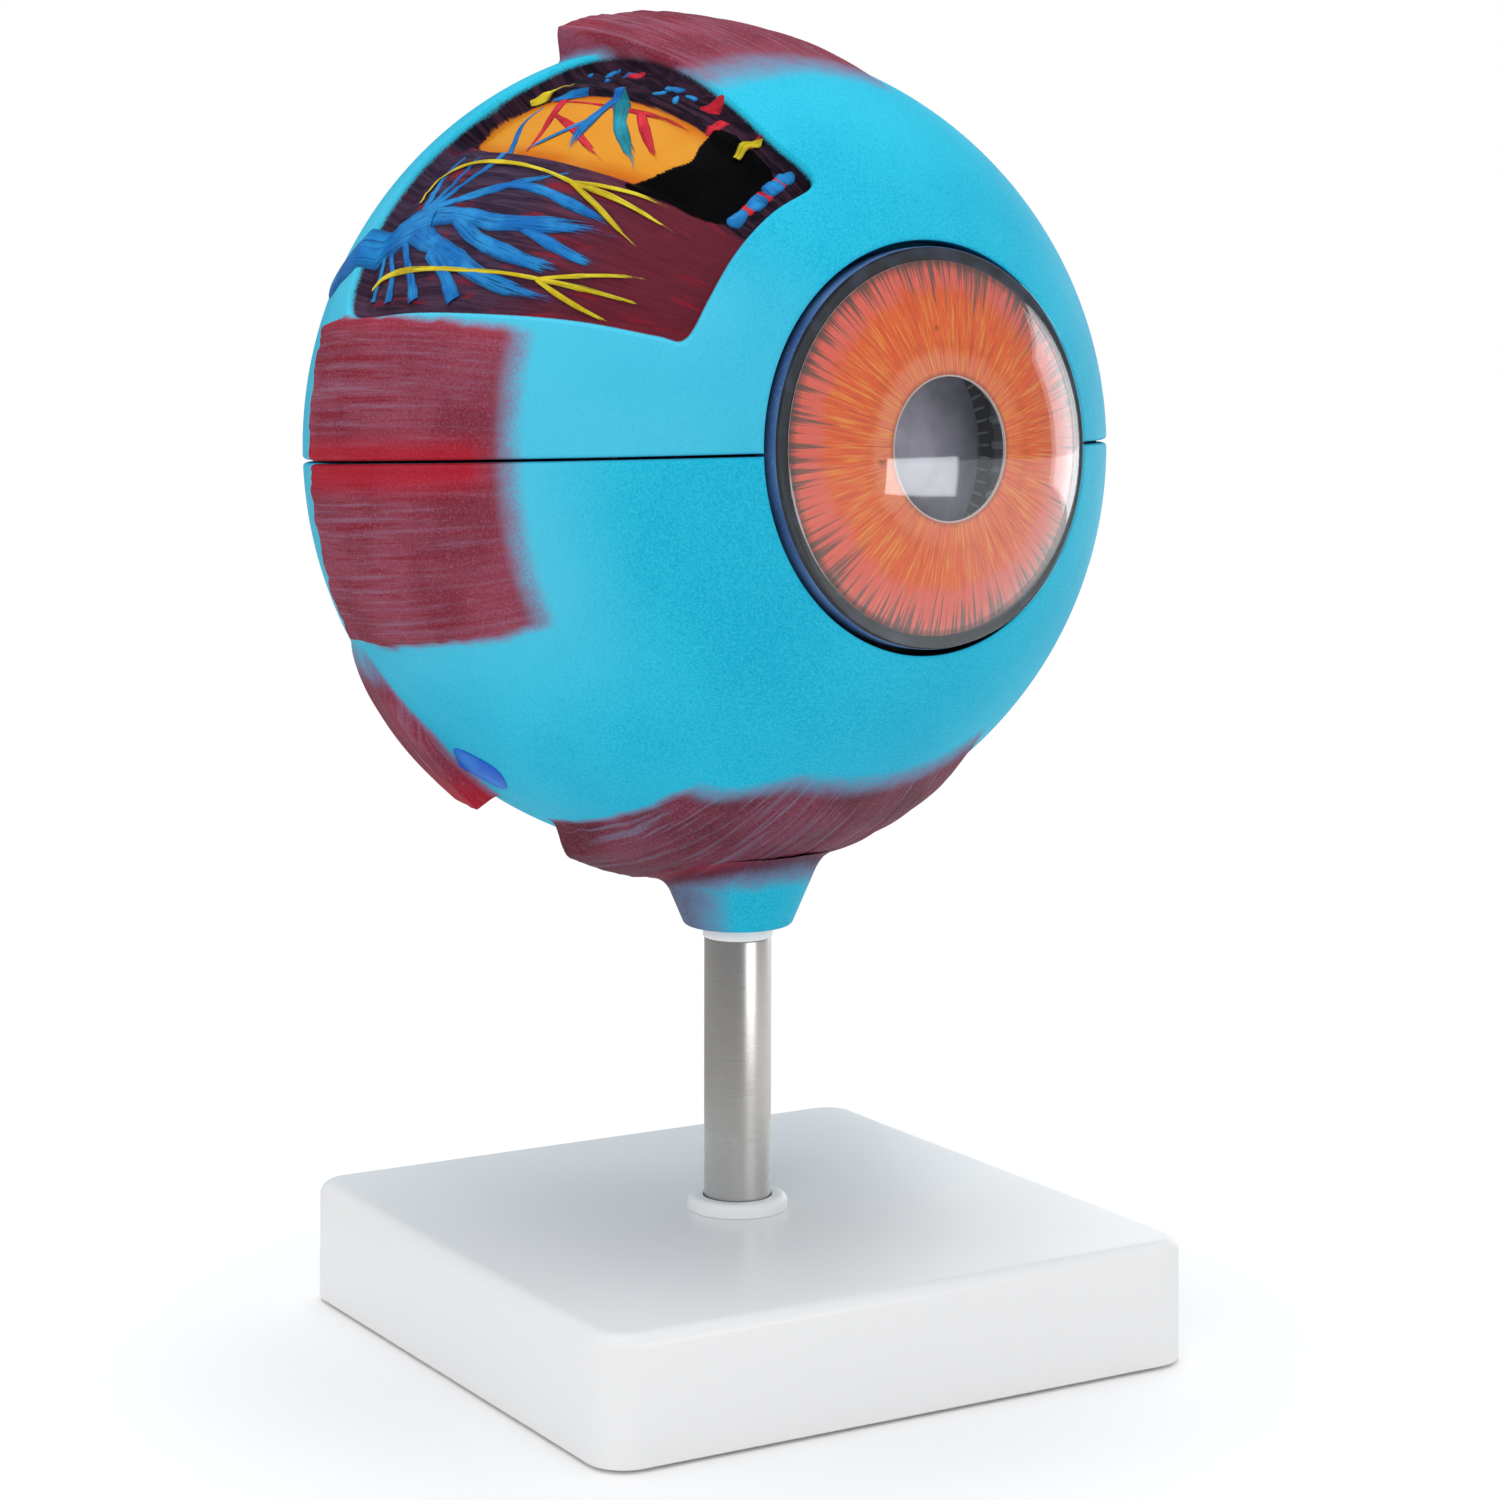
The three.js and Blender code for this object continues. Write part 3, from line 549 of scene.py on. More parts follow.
FIXINGS = ["tie_rod", "base_washer", "base_nut", "swivel_washer", "swivel_nut"]
DOWELS = [f"sclera_dowel_{k}" for k in (1, 2, 3, 4)] + [f"choroid_dowel_{k}" for k in (1, 2)]
for nodes, paint in ((FIXINGS, zinc_paint), (DOWELS, dowel_paint)):
    for node in nodes:
        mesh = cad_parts[node].data
        mesh.materials.clear()
        mesh.materials.append(paint.material)

# The eye's own shapes: alpha is the angle from the front pole, beta the angle round the axis


def globe_radius(alpha, size=GLOBE):
    along = np.cos(np.radians(alpha))
    across = np.sin(np.radians(alpha))
    half = np.where(along > 0, size, size - REAR_FLATTENING)
    return 1 / np.hypot(across / size, along / half)


def eye_points(out, depth, beta):
    """Points at a distance out from the axis and a depth forwards from the centre"""
    side = np.radians(beta)
    out, depth, side = np.broadcast_arrays(out, depth, side)
    return np.stack([out * np.cos(side), -depth, out * np.sin(side)], -1)


def on_globe(alpha, beta, lift=0.0):
    radius = globe_radius(alpha) + lift
    angle = np.radians(alpha)
    return eye_points(radius * np.sin(angle), radius * np.cos(angle), beta)


def around(beta, middle):
    """Angle from a middle, from -180 to 180"""
    return (beta - middle + 180) % 360 - 180


def value_noise(x, y, seed):
    """Smooth noise from -1 to 1 with cells one unit wide"""
    table = np.random.default_rng(seed).uniform(-1, 1, (256, 256))
    i = np.floor(x).astype(int)
    j = np.floor(y).astype(int)
    u, v = smooth(x - i, 0, 1), smooth(y - j, 0, 1)
    near = table[i % 256, j % 256] * (1 - u) + table[(i + 1) % 256, j % 256] * u
    far = table[i % 256, (j + 1) % 256] * (1 - u) + table[(i + 1) % 256, (j + 1) % 256] * u
    return near * (1 - v) + far * v


def curve_through(points, steps=8, closed=True):
    """A smooth curve through points, as an array of points"""
    points = np.asarray(points, float)
    count = len(points)
    result = []
    for k in range(count if closed else count - 1):
        if closed:
            a, b, c, d = (points[(k + n) % count] for n in (-1, 0, 1, 2))
        else:
            a, b, c, d = (points[min(max(k + n, 0), count - 1)] for n in (-1, 0, 1, 2))
        for t in np.arange(steps) / steps:
            near = 2 * b + (c - a) * t + (2 * a - 5 * b + 4 * c - d) * t**2
            result.append((near + (3 * b - a - 3 * c + d) * t**3) / 2)
    if not closed:
        result.append(points[-1])
    return np.array(result)


MM_PER_DEGREE = GLOBE * math.pi / 180


def flat_map(alpha, beta):
    """Alpha and beta as roughly true millimetres near the window"""
    return np.stack([alpha * MM_PER_DEGREE, beta * MM_PER_DEGREE * np.sin(np.radians(alpha)) ** 0.5], -1)


WINDOW_FIELDS = ("window", "retina", "pigment")
OFF_WINDOW = -6.0


def inside_distance(alpha, beta, outline):
    """Distance in millimetres to an outline of [alpha, beta] points, above 0 inside it"""
    corners = curve_through(outline)
    result = np.full(alpha.shape, OFF_WINDOW)
    low, high = corners.min(0) - 7, corners.max(0) + 7
    near = (alpha > low[0]) & (alpha < high[0]) & (beta > low[1]) & (beta < high[1])
    if not near.any():
        return result
    place = flat_map(alpha[near], beta[near])
    first = flat_map(corners[:, 0], corners[:, 1])
    last = np.roll(first, -1, axis=0)
    nearest = np.full(len(place), np.inf)
    crossings = np.zeros(len(place), bool)
    for a, b in zip(first, last):
        way = b - a
        t = np.clip(((place - a) @ way) / (way @ way), 0, 1)
        nearest = np.minimum(nearest, np.hypot(*(place - a - t[:, None] * way).T))
        spans = (a[1] > place[:, 1]) != (b[1] > place[:, 1])
        with np.errstate(divide="ignore", invalid="ignore"):
            x = a[0] + (place[:, 1] - a[1]) * way[0] / way[1]
        crossings ^= spans & (place[:, 0] < x)
    result[near] = np.clip(np.where(crossings, nearest, -nearest), OFF_WINDOW, -OFF_WINDOW)
    return result


# Muscles, as straps that rise towards their cut ends

STRAPS = [
    dict(middle=183, half=22.5, front=60, end=98.5, height=2.9, lift=0.8, fade=4, slope=1.9),
    dict(middle=-1, half=20, front=57, end=97, height=3.5, lift=0.8, fade=6, slope=1.9),
    dict(middle=91, half=17.5, front=60, end=96, height=6.5, lift=1.9, fade=10, slope=1.9),
    dict(middle=-90, half=28.5, front=50, end=90, height=5.3, lift=0.9, fade=5, slope=6, corner=9),
]
OBLIQUES = [
    dict(alpha=104.5, half=10.5, root=207, end=234.5, height=4.6),
    dict(alpha=106, half=8, root=82, end=56, height=3.5),
]


def strap_relief(alpha, beta, middle, half, front, end, height, lift, fade, slope, corner=0):
    """Height, paint cover and end-face mask of one strap"""
    across = around(beta, middle) / half
    along = np.clip((alpha - front) / (end - front), 0, 1)
    margin = (1 - np.abs(across)) * half * MM_PER_DEGREE * np.sin(np.radians(alpha))
    margin = margin + 0.5 * value_noise(alpha * 0.5, beta * 0.1, 3)
    side = smooth(margin, -0.3, slope)
    tail = smooth(end - alpha, -0.2, 0.25)
    ridges = 0.26 * value_noise(beta * 0.62, alpha * 0.04, 11)
    ridges = ridges + 0.16 * value_noise(beta * 1.5, alpha * 0.07, 12)
    rise = height * along**lift + (ridges - 0.25) * smooth(along, 0.1, 0.5)
    started = alpha - front - corner * smooth(-across, 0.45, 1.05)
    cover = smooth(margin, -0.7, 0.3 + 1.6 * (1 - along)) * smooth(started, -1, fade)
    cover = cover * smooth(end - alpha, -0.7, -0.2)
    ends = smooth(end - alpha, 0.5, 0.1) * smooth(end - alpha, -0.6, -0.2) * side
    return rise * side * tail, cover, ends


def oblique_relief(alpha, beta, middle, half, root, end, height):
    """Height, paint cover and end-face mask of an oblique muscle's stub"""
    along = around(beta, root) / (end - root)
    width = half * np.clip(0.35 + 1.3 * along, 0.3, 1)
    margin = (width - np.abs(alpha - middle)) * MM_PER_DEGREE
    side = smooth(margin, -0.2, 2.4)
    last = (1 - along) * abs(end - root)
    tail = smooth(last, -0.25, 0.35) * (along > -0.5)
    ridges = 0.25 * value_noise(alpha * 0.8, beta * 0.05, 13)
    rise = (height - 0.25 + ridges) * np.clip(along, 0, 1) ** 0.6
    started = smooth(along, -0.05, 0.25)
    cover = smooth(margin, -0.6, 0.8) * started * smooth(last, -0.8, -0.3) * (along > -0.5)
    ends = smooth(last, 0.7, 0.1) * smooth(last, -0.7, -0.2) * side * (along > 0)
    return rise * side * tail, cover, ends


# Outlines of the window and of what is painted in it, as [alpha, beta] in degrees

WINDOW = [
    (40, 111.4), (40, 122), (39.8, 134), (39.6, 147), (40.4, 156), (44, 157), (54, 157.7), (68, 159),
    (82, 159.8), (92, 160.4), (96.6, 158.4), (98.4, 151.6), (98.6, 146.4), (98, 141.5), (97, 136),
    (94.8, 131.3), (93, 126), (91.6, 121), (90, 116.6), (89, 112), (86, 109), (77, 107.6), (68, 108),
    (58, 109.4), (48, 110.6), (43, 110),
]
RETINA = [
    (92.5, 129.5), (92.5, 124.5), (90, 119.5), (86, 116.8), (79, 115.2), (71, 114.4), (63, 114),
    (55, 114), (49, 114), (45.6, 115.6), (44.4, 121), (44, 127), (47, 129.8), (56, 131), (66, 131.8),
    (78, 132), (87, 131.6),
]
PIGMENT = [
    (56.5, 112.5), (48, 112.5), (44, 115), (42.8, 121), (42.6, 128), (46, 131.4), (52, 132.2),
    (59, 132.6), (57.5, 128), (56.4, 124.4), (55.2, 121), (56.6, 117),
]


def window_relief(alpha, beta):
    """Sunk height in the window, with the distances inside its outlines"""
    window = inside_distance(alpha, beta, WINDOW)
    retina = inside_distance(alpha, beta, RETINA)
    pigment = inside_distance(alpha, beta, PIGMENT)
    floor = smooth(window, -0.9, 1.1)
    bumps = 0.5 * value_noise(alpha * 0.55, beta * 0.6, 21)
    bumps = bumps + 0.25 * value_noise(alpha * 1.3, beta * 1.4, 22)
    band = smooth(window, 0.6, 2) * smooth(retina, 0.2, -1.2) * smooth(beta, 132, 128)
    sunk = -3.0 * floor - 1.3 * smooth(retina, -0.5, 0.7) + bumps * band * 0.8
    folds = 0.12 * value_noise(alpha * 0.25, beta * 1.2, 23)
    folds = folds * smooth(window, 1, 3) * smooth(retina, 0, -1)
    return sunk + folds, window, retina, pigment


def sclera_relief(alpha, beta, upper):
    """Height over the plain globe and the paint masks at each point"""
    height = np.zeros(alpha.shape)
    muscle = np.zeros(alpha.shape)
    ends = np.zeros(alpha.shape)
    pieces = [strap_relief(alpha, beta, **strap) for strap in STRAPS]
    for stub in OBLIQUES:
        sizes = {k: v for k, v in stub.items() if k != "alpha"}
        pieces.append(oblique_relief(alpha, beta, middle=stub["alpha"], **sizes))
    for rise, cover, end in pieces:
        height = np.maximum(height, rise)
        muscle = np.maximum(muscle, cover)
        ends = np.maximum(ends, end)
    stub = around(beta, 220)
    slant = smooth(alpha, 90, 93) * smooth(np.abs(stub), 19, 16)
    lateral = smooth(np.abs(around(beta, 183)), 26, 24)
    seam = smooth(np.abs(beta - 180.5), 5.5, 1) * smooth(alpha, 62, 68)
    top = smooth(beta, 166, 161) * smooth(alpha, 60, 66) * 0.35
    tip = slant * smooth(beta, 224, 234)
    crimson = np.maximum(lateral * np.maximum(seam, top), tip)
    under = smooth(np.abs(around(beta, 270)), 36, 32)
    masks = {"muscle": muscle, "ends": ends, "slant": slant, "crimson": crimson, "under": under}
    masks["plain"] = np.zeros(alpha.shape)
    if upper:
        sunk, window, retina, pigment = window_relief(alpha, beta)
        opened = smooth(window, -1.2, 0.2)
        height = height * (1 - opened) + sunk
        masks.update(window=window, retina=retina, pigment=pigment)
    else:
        masks.update({key: np.full(alpha.shape, OFF_WINDOW) for key in WINDOW_FIELDS})
    return height, masks


def seam_drop(above, radius=0.75):
    """How far an edge rounded with a radius lies under the surface, at a height above the seam face"""
    left = np.clip(radius - above, 0, radius)
    return radius - np.sqrt(radius**2 - left**2)


def half_columns(beta_stops, upper):
    """Columns of a half shell as shares from one seam face to the other"""
    start = 0 if upper else 180
    return (spaced(start, start + 180, beta_stops) - start) / 180


def half_angles(out, shares, upper, gap=SEAM):
    """Beta of every point of a half shell whose edges lie on the seam faces"""
    first = np.degrees(np.arcsin(np.clip(gap / np.maximum(out, 1e-6), 0, 1)))
    beta = first + (180 - 2 * first) * shares
    return beta if upper else beta + 180


def close_seam(upper, rows, columns, flat, polar, fields, faces, marks):
    """Adds a half shell's two seam faces, with points of their own whose fields hold the marks"""
    for column, turned in ((0, False), (columns - 1, True)):
        chosen = np.arange(rows) * columns + column
        ring = list(range(len(flat), len(flat) + rows))
        faces.append(ring[::-1] if turned == upper else ring)
        flat = np.concatenate([flat, flat[chosen]])
        polar = np.concatenate([polar, polar[chosen]])
        for key, values in fields.items():
            fields[key] = np.concatenate([values, np.full(rows, marks.get(key, 0.0))])
    return flat, polar


UPPER_BETAS = [
    (0, 0.22), (1.5, 0.6), (16, 0.7), (18, 0.3), (20, 0.3), (22, 1.5), (52, 1.5), (55, 0.8), (72, 0.7),
    (73, 0.3), (75, 0.5), (106, 0.45), (109, 0.22), (112, 0.46), (130, 0.48), (134, 0.45), (136, 0.6),
    (154, 0.5), (157, 0.22), (161, 0.25), (163, 0.5), (177, 0.5), (178.8, 0.22), (180, 0.2),
]
LOWER_BETAS = [
    (180, 0.22), (181.5, 0.45), (194, 0.5), (203, 0.3), (206, 0.8), (228, 0.8), (231, 0.3), (234, 0.5),
    (237, 0.9), (239, 0.4), (242, 0.55), (298, 0.55), (301, 0.4), (303, 1.5), (336, 1.5), (338, 0.4),
    (341, 0.5), (343, 0.8), (358, 0.7), (359, 0.22), (360, 0.2),
]
UPPER_ALPHAS = [
    (28, 0.5), (38.5, 0.4), (39, 0.18), (41.5, 0.24), (43, 0.5), (56, 0.7), (85, 0.7), (87, 0.38),
    (94, 0.34), (95, 0.2), (99, 0.2), (101, 0.6), (113, 0.7), (116, 0.9), (120, 1.6), (180, 2),
]
LOWER_ALPHAS = [
    (28, 0.5), (36, 0.7), (54, 0.6), (86, 0.52), (88, 0.32), (97.5, 0.27), (99, 0.42), (114, 0.42),
    (117, 0.8), (122, 1.6), (180, 2),
]
# Rows of the inner surface, finer round the pocket of the nut in the lower half
INNER_ALPHAS = [(28, 2.4), (66, 2.4), (69, 0.6), (93, 0.6), (96, 2.4), (180, 2.6)]
PLAIN_ALPHAS = [(28, 2.4), (180, 2.6)]
REAR_POLE = 179.7
LIP_ROUNDING = 0.8


def shell_points(size, alpha):
    """A shell's half section at each alpha, as [radius, depth] points"""
    radius = globe_radius(alpha, size)
    out = np.maximum(radius * np.sin(np.radians(alpha)), 0.02)
    return list(zip(out, radius * np.cos(np.radians(alpha))))


def sink_pocket(points):
    """Moves the inner surface near the post's axis down to the floor that carries the nut"""
    spot = in_world(points)
    out = np.hypot(spot[..., 0], spot[..., 1])
    share = smooth(out, NUT_POCKET + 0.25, NUT_POCKET - 0.25) * (spot[..., 2] < EYE_HEIGHT - 40)
    spot[..., 2] += (NECK_FLOOR - spot[..., 2]) * share
    return (spot - EYE_CENTRE) @ EYE_ROTATION


def opening_lines(edge_alpha):
    """The opening's rounded lip with its wall, and the ledge behind it, as [radius, depth] points"""
    edge = shell_points(GLOBE, np.array([edge_alpha]))[0]
    depth = math.sqrt(GLOBE**2 - OPENING**2)
    lip = []
    for t in (0.25, 0.5, 0.75, 1):
        a, b, c = (1 - t) ** 2, 2 * t * (1 - t), t * t
        height = a * edge[1] + b * depth + c * (depth - LIP_ROUNDING)
        lip.append((a * edge[0] + b * OPENING + c * OPENING, height))
    wall = [(OPENING, 62.5), (OPENING, 61), (OPENING, LEDGE_DEPTH + 0.2), (OPENING - 0.2, LEDGE_DEPTH)]
    ledge = [(LEDGE_RADIUS + 0.2, LEDGE_DEPTH), (LEDGE_RADIUS, LEDGE_DEPTH - 0.2)]
    return lip + wall, ledge


def sclera_half(name, upper, body, node, paint):
    """One half of the sclera: outer surface, opening, inner surface and seam faces"""
    shares = half_columns(UPPER_BETAS if upper else LOWER_BETAS, upper)
    edge = math.degrees(math.asin(OPENING / GLOBE)) + 0.75
    alphas = spaced(edge, REAR_POLE, UPPER_ALPHAS if upper else LOWER_ALPHAS)[::-1, None]
    out = globe_radius(alphas) * np.sin(np.radians(alphas))
    beta = half_angles(out, shares, upper)
    alpha = np.broadcast_to(alphas, beta.shape)
    height, masks = sclera_relief(alpha, beta, upper)
    drop = seam_drop(np.abs(out * np.sin(np.radians(beta))) - SEAM)
    outer = on_globe(alpha, beta, height - drop)
    lip_and_wall, ledge = opening_lines(alphas[-1, 0])
    start = math.degrees(math.asin(LEDGE_RADIUS / SCLERA_INSIDE))
    lining = spaced(start, REAR_POLE, PLAIN_ALPHAS if upper else INNER_ALPHAS)
    rim = np.array(lip_and_wall + ledge + shell_points(SCLERA_INSIDE, lining))
    gap = np.where(np.arange(len(rim)) < len(lip_and_wall), SEAM, INNER_SEAM)[:, None]
    rim_beta = half_angles(rim[:, :1], shares, upper, gap)
    inner = eye_points(rim[:, :1], rim[:, 1:], rim_beta)
    if not upper:
        inner = sink_pocket(inner)
    points = np.concatenate([outer, inner])
    rows, columns = points.shape[:2]
    first_inside = len(outer) + len(lip_and_wall + ledge)
    inside = np.zeros((rows, columns))
    inside[first_inside:] = 1
    rim_mask = np.zeros((rows, columns))
    rim_mask[len(outer) + 2 : first_inside] = 1
    fields = {"inside": inside.ravel(), "rim": rim_mask.ravel(), "cut": np.zeros(rows * columns)}
    for key, values in masks.items():
        fields[key] = np.concatenate([values, np.full(rim_beta.shape, values.min())]).ravel()
    rim_alpha = np.degrees(np.arctan2(rim[:, :1], rim[:, 1:])) + 0 * rim_beta
    polar = np.stack([np.concatenate([alpha, rim_alpha]), np.concatenate([beta, rim_beta])], -1)
    faces = grid_faces(rows, columns)
    flat = points.reshape(-1, 3)
    if upper:
        faces = [f[::-1] for f in faces]
    else:
        spot = in_world(flat)
        hidden = (np.hypot(spot[:, 0], spot[:, 1]) < NUT_POCKET + 1) & (spot[:, 2] < EYE_HEIGHT - 40)
        hidden &= np.arange(len(flat)) < outer.shape[0] * columns
        faces = [f for f in faces if not hidden[f].all()]
    marks = {"cut": 1.0, **dict.fromkeys(WINDOW_FIELDS, OFF_WINDOW)}
    polar = polar.reshape(-1, 2)
    flat, polar = close_seam(upper, rows, columns, flat, polar, fields, faces, marks)
    mesh_piece(name, in_world(flat), faces, body, [node], paint, fields, polar)


def turquoise_coat(paint, grain, cloud, alpha, beta):
    """The globe's own colour, paler where the spray was thin"""
    color = paint.mix(cloud.step(0.3, 0.7), linear(8, 172, 208), linear(34, 188, 220))
    color = paint.mix(grain.step(0.42, 0.68) * 0.35, color, linear(74, 200, 226))
    color = paint.mix(grain.step(0.5, 0.3) * 0.3, color, linear(0, 140, 182))
    pale = beta.step(120, 155) * beta.step(181, 179.6)
    pale = pale + beta.step(179.6, 181) * beta.step(228, 196) * alpha.step(44, 60)
    pale = pale * (cloud.step(0.25, 0.6) * 0.5 + 0.5) * alpha.step(162, 112) * 0.62
    return paint.mix(pale, color, linear(88, 198, 228))


def muscle_coat(paint, grain, streak, fine, alpha):
    """Crimson streaked along the fibres, duller under the globe and sprayed thinly on the neck"""
    plain = paint.attribute("plain")
    crimson = paint.attribute("crimson")
    patches = paint.noise(paint.place(), scale=60, detail=3)
    color = paint.mix(patches.step(0.35, 0.65), linear(124, 48, 66), linear(144, 66, 86))
    ribbed = alpha.step(56, 92) * 0.5 + 0.35
    color = paint.mix(streak.step(0.5, 0.66) * ribbed, color, linear(142, 96, 120))
    color = paint.mix(streak.step(0.48, 0.34) * ribbed, color, linear(132, 22, 42))
    dusk = paint.mix(patches.step(0.35, 0.65), linear(92, 34, 48), linear(118, 54, 74))
    dusk = paint.mix(streak.step(0.5, 0.68) * 0.75, dusk, linear(112, 108, 132))
    dusk = paint.mix(streak.step(0.44, 0.3) * 0.6, dusk, linear(82, 14, 30))
    color = paint.mix(paint.attribute("under"), color, dusk)
    red = (crimson + (streak - 0.5) * 0.9 * crimson).clamped() * (1 - plain)
    color = paint.mix(red * 0.85, color, linear(178, 20, 40))
    color = paint.mix(fine.step(0.55, 0.75) * 0.15, color, linear(162, 92, 108))
    color = paint.mix(grain.step(0.5, 0.72) * (1 - crimson * 0.7) * 0.34, color, linear(172, 112, 132))
    color = paint.mix(grain.step(0.48, 0.28) * 0.35, color, linear(84, 20, 36))
    sprayed = paint.mix(patches.step(0.3, 0.7), linear(78, 52, 72), linear(98, 70, 92))
    sprayed = paint.mix(crimson * 0.8, sprayed, linear(98, 26, 46))
    color = paint.mix(plain, color, sprayed)
    return paint.mix(paint.attribute("ends") * 0.7, color, linear(150, 30, 50))


def window_coat(paint, brush, wisp, alpha, beta):
    """What is painted on the window's floor: dark flap, orange retina and black pigment"""
    retina = paint.attribute("retina")
    dark = paint.mix(brush.step(0.35, 0.7), linear(46, 32, 52), linear(76, 58, 82))
    front = alpha.step(74, 50) * 0.85 + beta.step(150, 157) * 0.1
    flap = paint.mix((front + (brush - 0.5) * 0.5).clamped(), dark, linear(104, 30, 44))
    flap = paint.mix(wisp.step(0.52, 0.75) * alpha.step(80, 48) * 0.45, flap, linear(134, 36, 50))
    flap = paint.mix(wisp.step(0.48, 0.3) * 0.3, flap, linear(46, 18, 32))
    dabs = paint.noise(paint.polar((0.1, 0.34, 1)), detail=3, roughness=0.5, twist=0.4)
    flap = paint.mix(dabs.step(0.56, 0.66) * brush.step(0.3, 0.55) * 0.7, flap, linear(136, 26, 44))
    band = paint.mix(brush.step(0.4, 0.65), linear(24, 16, 30), linear(62, 36, 54))
    color = paint.mix((beta + (wisp - 0.5) * 2).step(131.5, 129.5), flap, band)
    glow = paint.noise(paint.place(), scale=90, detail=3)
    orange = paint.mix(retina.step(0.4, 4.5), linear(196, 100, 8), linear(214, 140, 34))
    orange = paint.mix(glow.step(0.4, 0.7) * 0.35, orange, linear(218, 156, 56))
    color = paint.mix((retina + (wisp - 0.5) * 0.8).step(0.35, 0.75), color, orange)
    black = paint.mix(glow.step(0.35, 0.7), linear(2, 2, 3), linear(7, 7, 9))
    return paint.mix((paint.attribute("pigment") + (wisp - 0.5) * 1.2).step(-0.1, 0.25), color, black)


def sclera_material():
    """Turquoise, muscles, window, opening, inside and seam faces, each held by its own mask"""
    paint = Paint("sclera_paint", roughness=0.5, Specular_IOR_Level=0.1)
    place = paint.place()
    alpha, beta = paint.parts(paint.polar())[:2]
    grain = paint.noise(place, scale=2400, detail=2, roughness=0.7)
    cloud = paint.noise(place, scale=22, detail=3)
    mottle = paint.noise(place, scale=240, detail=3, roughness=0.6)
    streak = paint.noise(paint.polar((0.05, 1.15, 1)), detail=4, roughness=0.66, twist=0.3)
    turned = paint.noise(paint.polar((2.3, 0.09, 1)), detail=4, roughness=0.62, twist=0.3)
    streak = streak + (turned - streak) * paint.attribute("slant")
    fine = paint.noise(paint.polar((0.3, 7.0, 1)), detail=3, roughness=0.6)
    brush = paint.noise(paint.polar((0.12, 1.1, 1)), detail=4, roughness=0.6, twist=0.6)
    wisp = paint.noise(paint.polar((0.22, 3.2, 1)), detail=3, roughness=0.65)

    cover = paint.attribute("muscle")
    speckle = (grain + mottle * 0.6 - 0.8) * cover * (1 - cover) * 4.6
    cover = (cover + speckle).clamped()
    color = turquoise_coat(paint, grain, cloud, alpha, beta)
    color = paint.mix(cover, color, muscle_coat(paint, grain, streak, fine, alpha))
    mist = cover * (1 - cover) * (grain.step(0.3, 0.7) + 0.5) * 1.5
    color = paint.mix(mist.clamped(), color, linear(132, 118, 160))
    opened = (paint.attribute("window") + (grain - 0.5) * 0.5).step(-0.35, 0.05)
    color = paint.mix(opened, color, window_coat(paint, brush, wisp, alpha, beta))
    # The opening's wall is painted shade: near-black round most of it, dim turquoise at its top where
    # some light reaches into the gap
    rim = (paint.attribute("rim") + (grain - 0.5) * 0.4).step(0.35, 0.7)
    wall = paint.mix(beta.step(38, 66) * beta.step(150, 118), linear(12, 18, 26), linear(14, 96, 132))
    color = paint.mix(rim, color, wall)
    cast = paint.mix(mottle, linear(206, 204, 192), linear(224, 220, 206))
    color = paint.mix(paint.attribute("inside").step(0.4, 0.6), color, cast)
    seam_face = paint.mix(grain, linear(52, 150, 182), linear(88, 180, 206))
    color = paint.mix(paint.attribute("cut").step(0.4, 0.6), color, seam_face)
    paint.set("Base Color", color)
    paint.set("Roughness", opened * -0.06 + cover * 0.06 + mottle * 0.14 + 0.46)
    relief = grain * 0.35 + mottle * 0.3 + (streak + fine * 0.5) * cover * 1.6
    paint.bump(relief + (brush + wisp) * opened * 1.2, 0.35, 0.25 * MM)
    return paint


sclera_paint = sclera_material()
sclera_half("sclera_top", True, "upper_shell", "upper_sclera", sclera_paint)
sclera_half("sclera_bottom", False, "globe", "lower_sclera", sclera_paint)

# Neck: a cone that runs into the globe with a hollow fillet, found along rays from inside the globe

NECK_RAYS_FROM = NECK_BOTTOM + NECK_LENGTH + 6
FILLET = 2.2


def globe_place(points):
    """Alpha, beta and distance from the centre of world points"""
    place = (points - EYE_CENTRE) @ EYE_ROTATION
    distance = np.linalg.norm(place, axis=-1)
    alpha = np.degrees(np.arccos(np.clip(-place[..., 1] / distance, -1, 1)))
    beta = np.degrees(np.arctan2(place[..., 2], place[..., 0])) % 360
    return alpha, beta, distance


def neck_parts(points, relief):
    """Distances from the globe with its muscles and from the neck's cone, below 0 inside them"""
    out = np.hypot(points[..., 0], points[..., 1])
    up = points[..., 2] - NECK_BOTTOM
    side = (out - NECK_RADIUS - NECK_TAPER * up) * math.cos(math.atan(NECK_TAPER))
    edge = np.clip(0.5 + 0.5 * (side + up) / 0.8, 0, 1)
    cone = -up * (1 - edge) + side * edge + 0.8 * edge * (1 - edge)
    alpha, _, distance = globe_place(points)
    return distance - globe_radius(alpha) - relief, cone


def neck_field(points, relief):
    """Below 0 inside the neck or the globe, with a small fillet between them"""
    globe, cone = neck_parts(points, relief)
    blend = np.clip(0.5 + 0.5 * (globe - cone) / FILLET, 0, 1)
    return globe * (1 - blend) + cone * blend - FILLET * blend * (1 - blend)


def neck_reach(start, ways, relief):
    """How far each ray runs before it leaves the neck: a coarse search, then halving"""
    low = np.zeros(ways.shape[:2])
    high = np.full(ways.shape[:2], np.nan)
    for t in np.linspace(2, 40, 77):
        outside = neck_field(start + ways * t, relief) > 0
        found = outside & np.isnan(high)
        high[found] = t
        low[~outside & np.isnan(high)] = t
    high = np.where(np.isnan(high), 40.0, high)
    for _ in range(12):
        middle = (low + high) / 2
        outside = neck_field(start + ways * middle[..., None], relief) > 0
        high = np.where(outside, middle, high)
        low = np.where(outside, low, middle)
    return (low + high) / 2


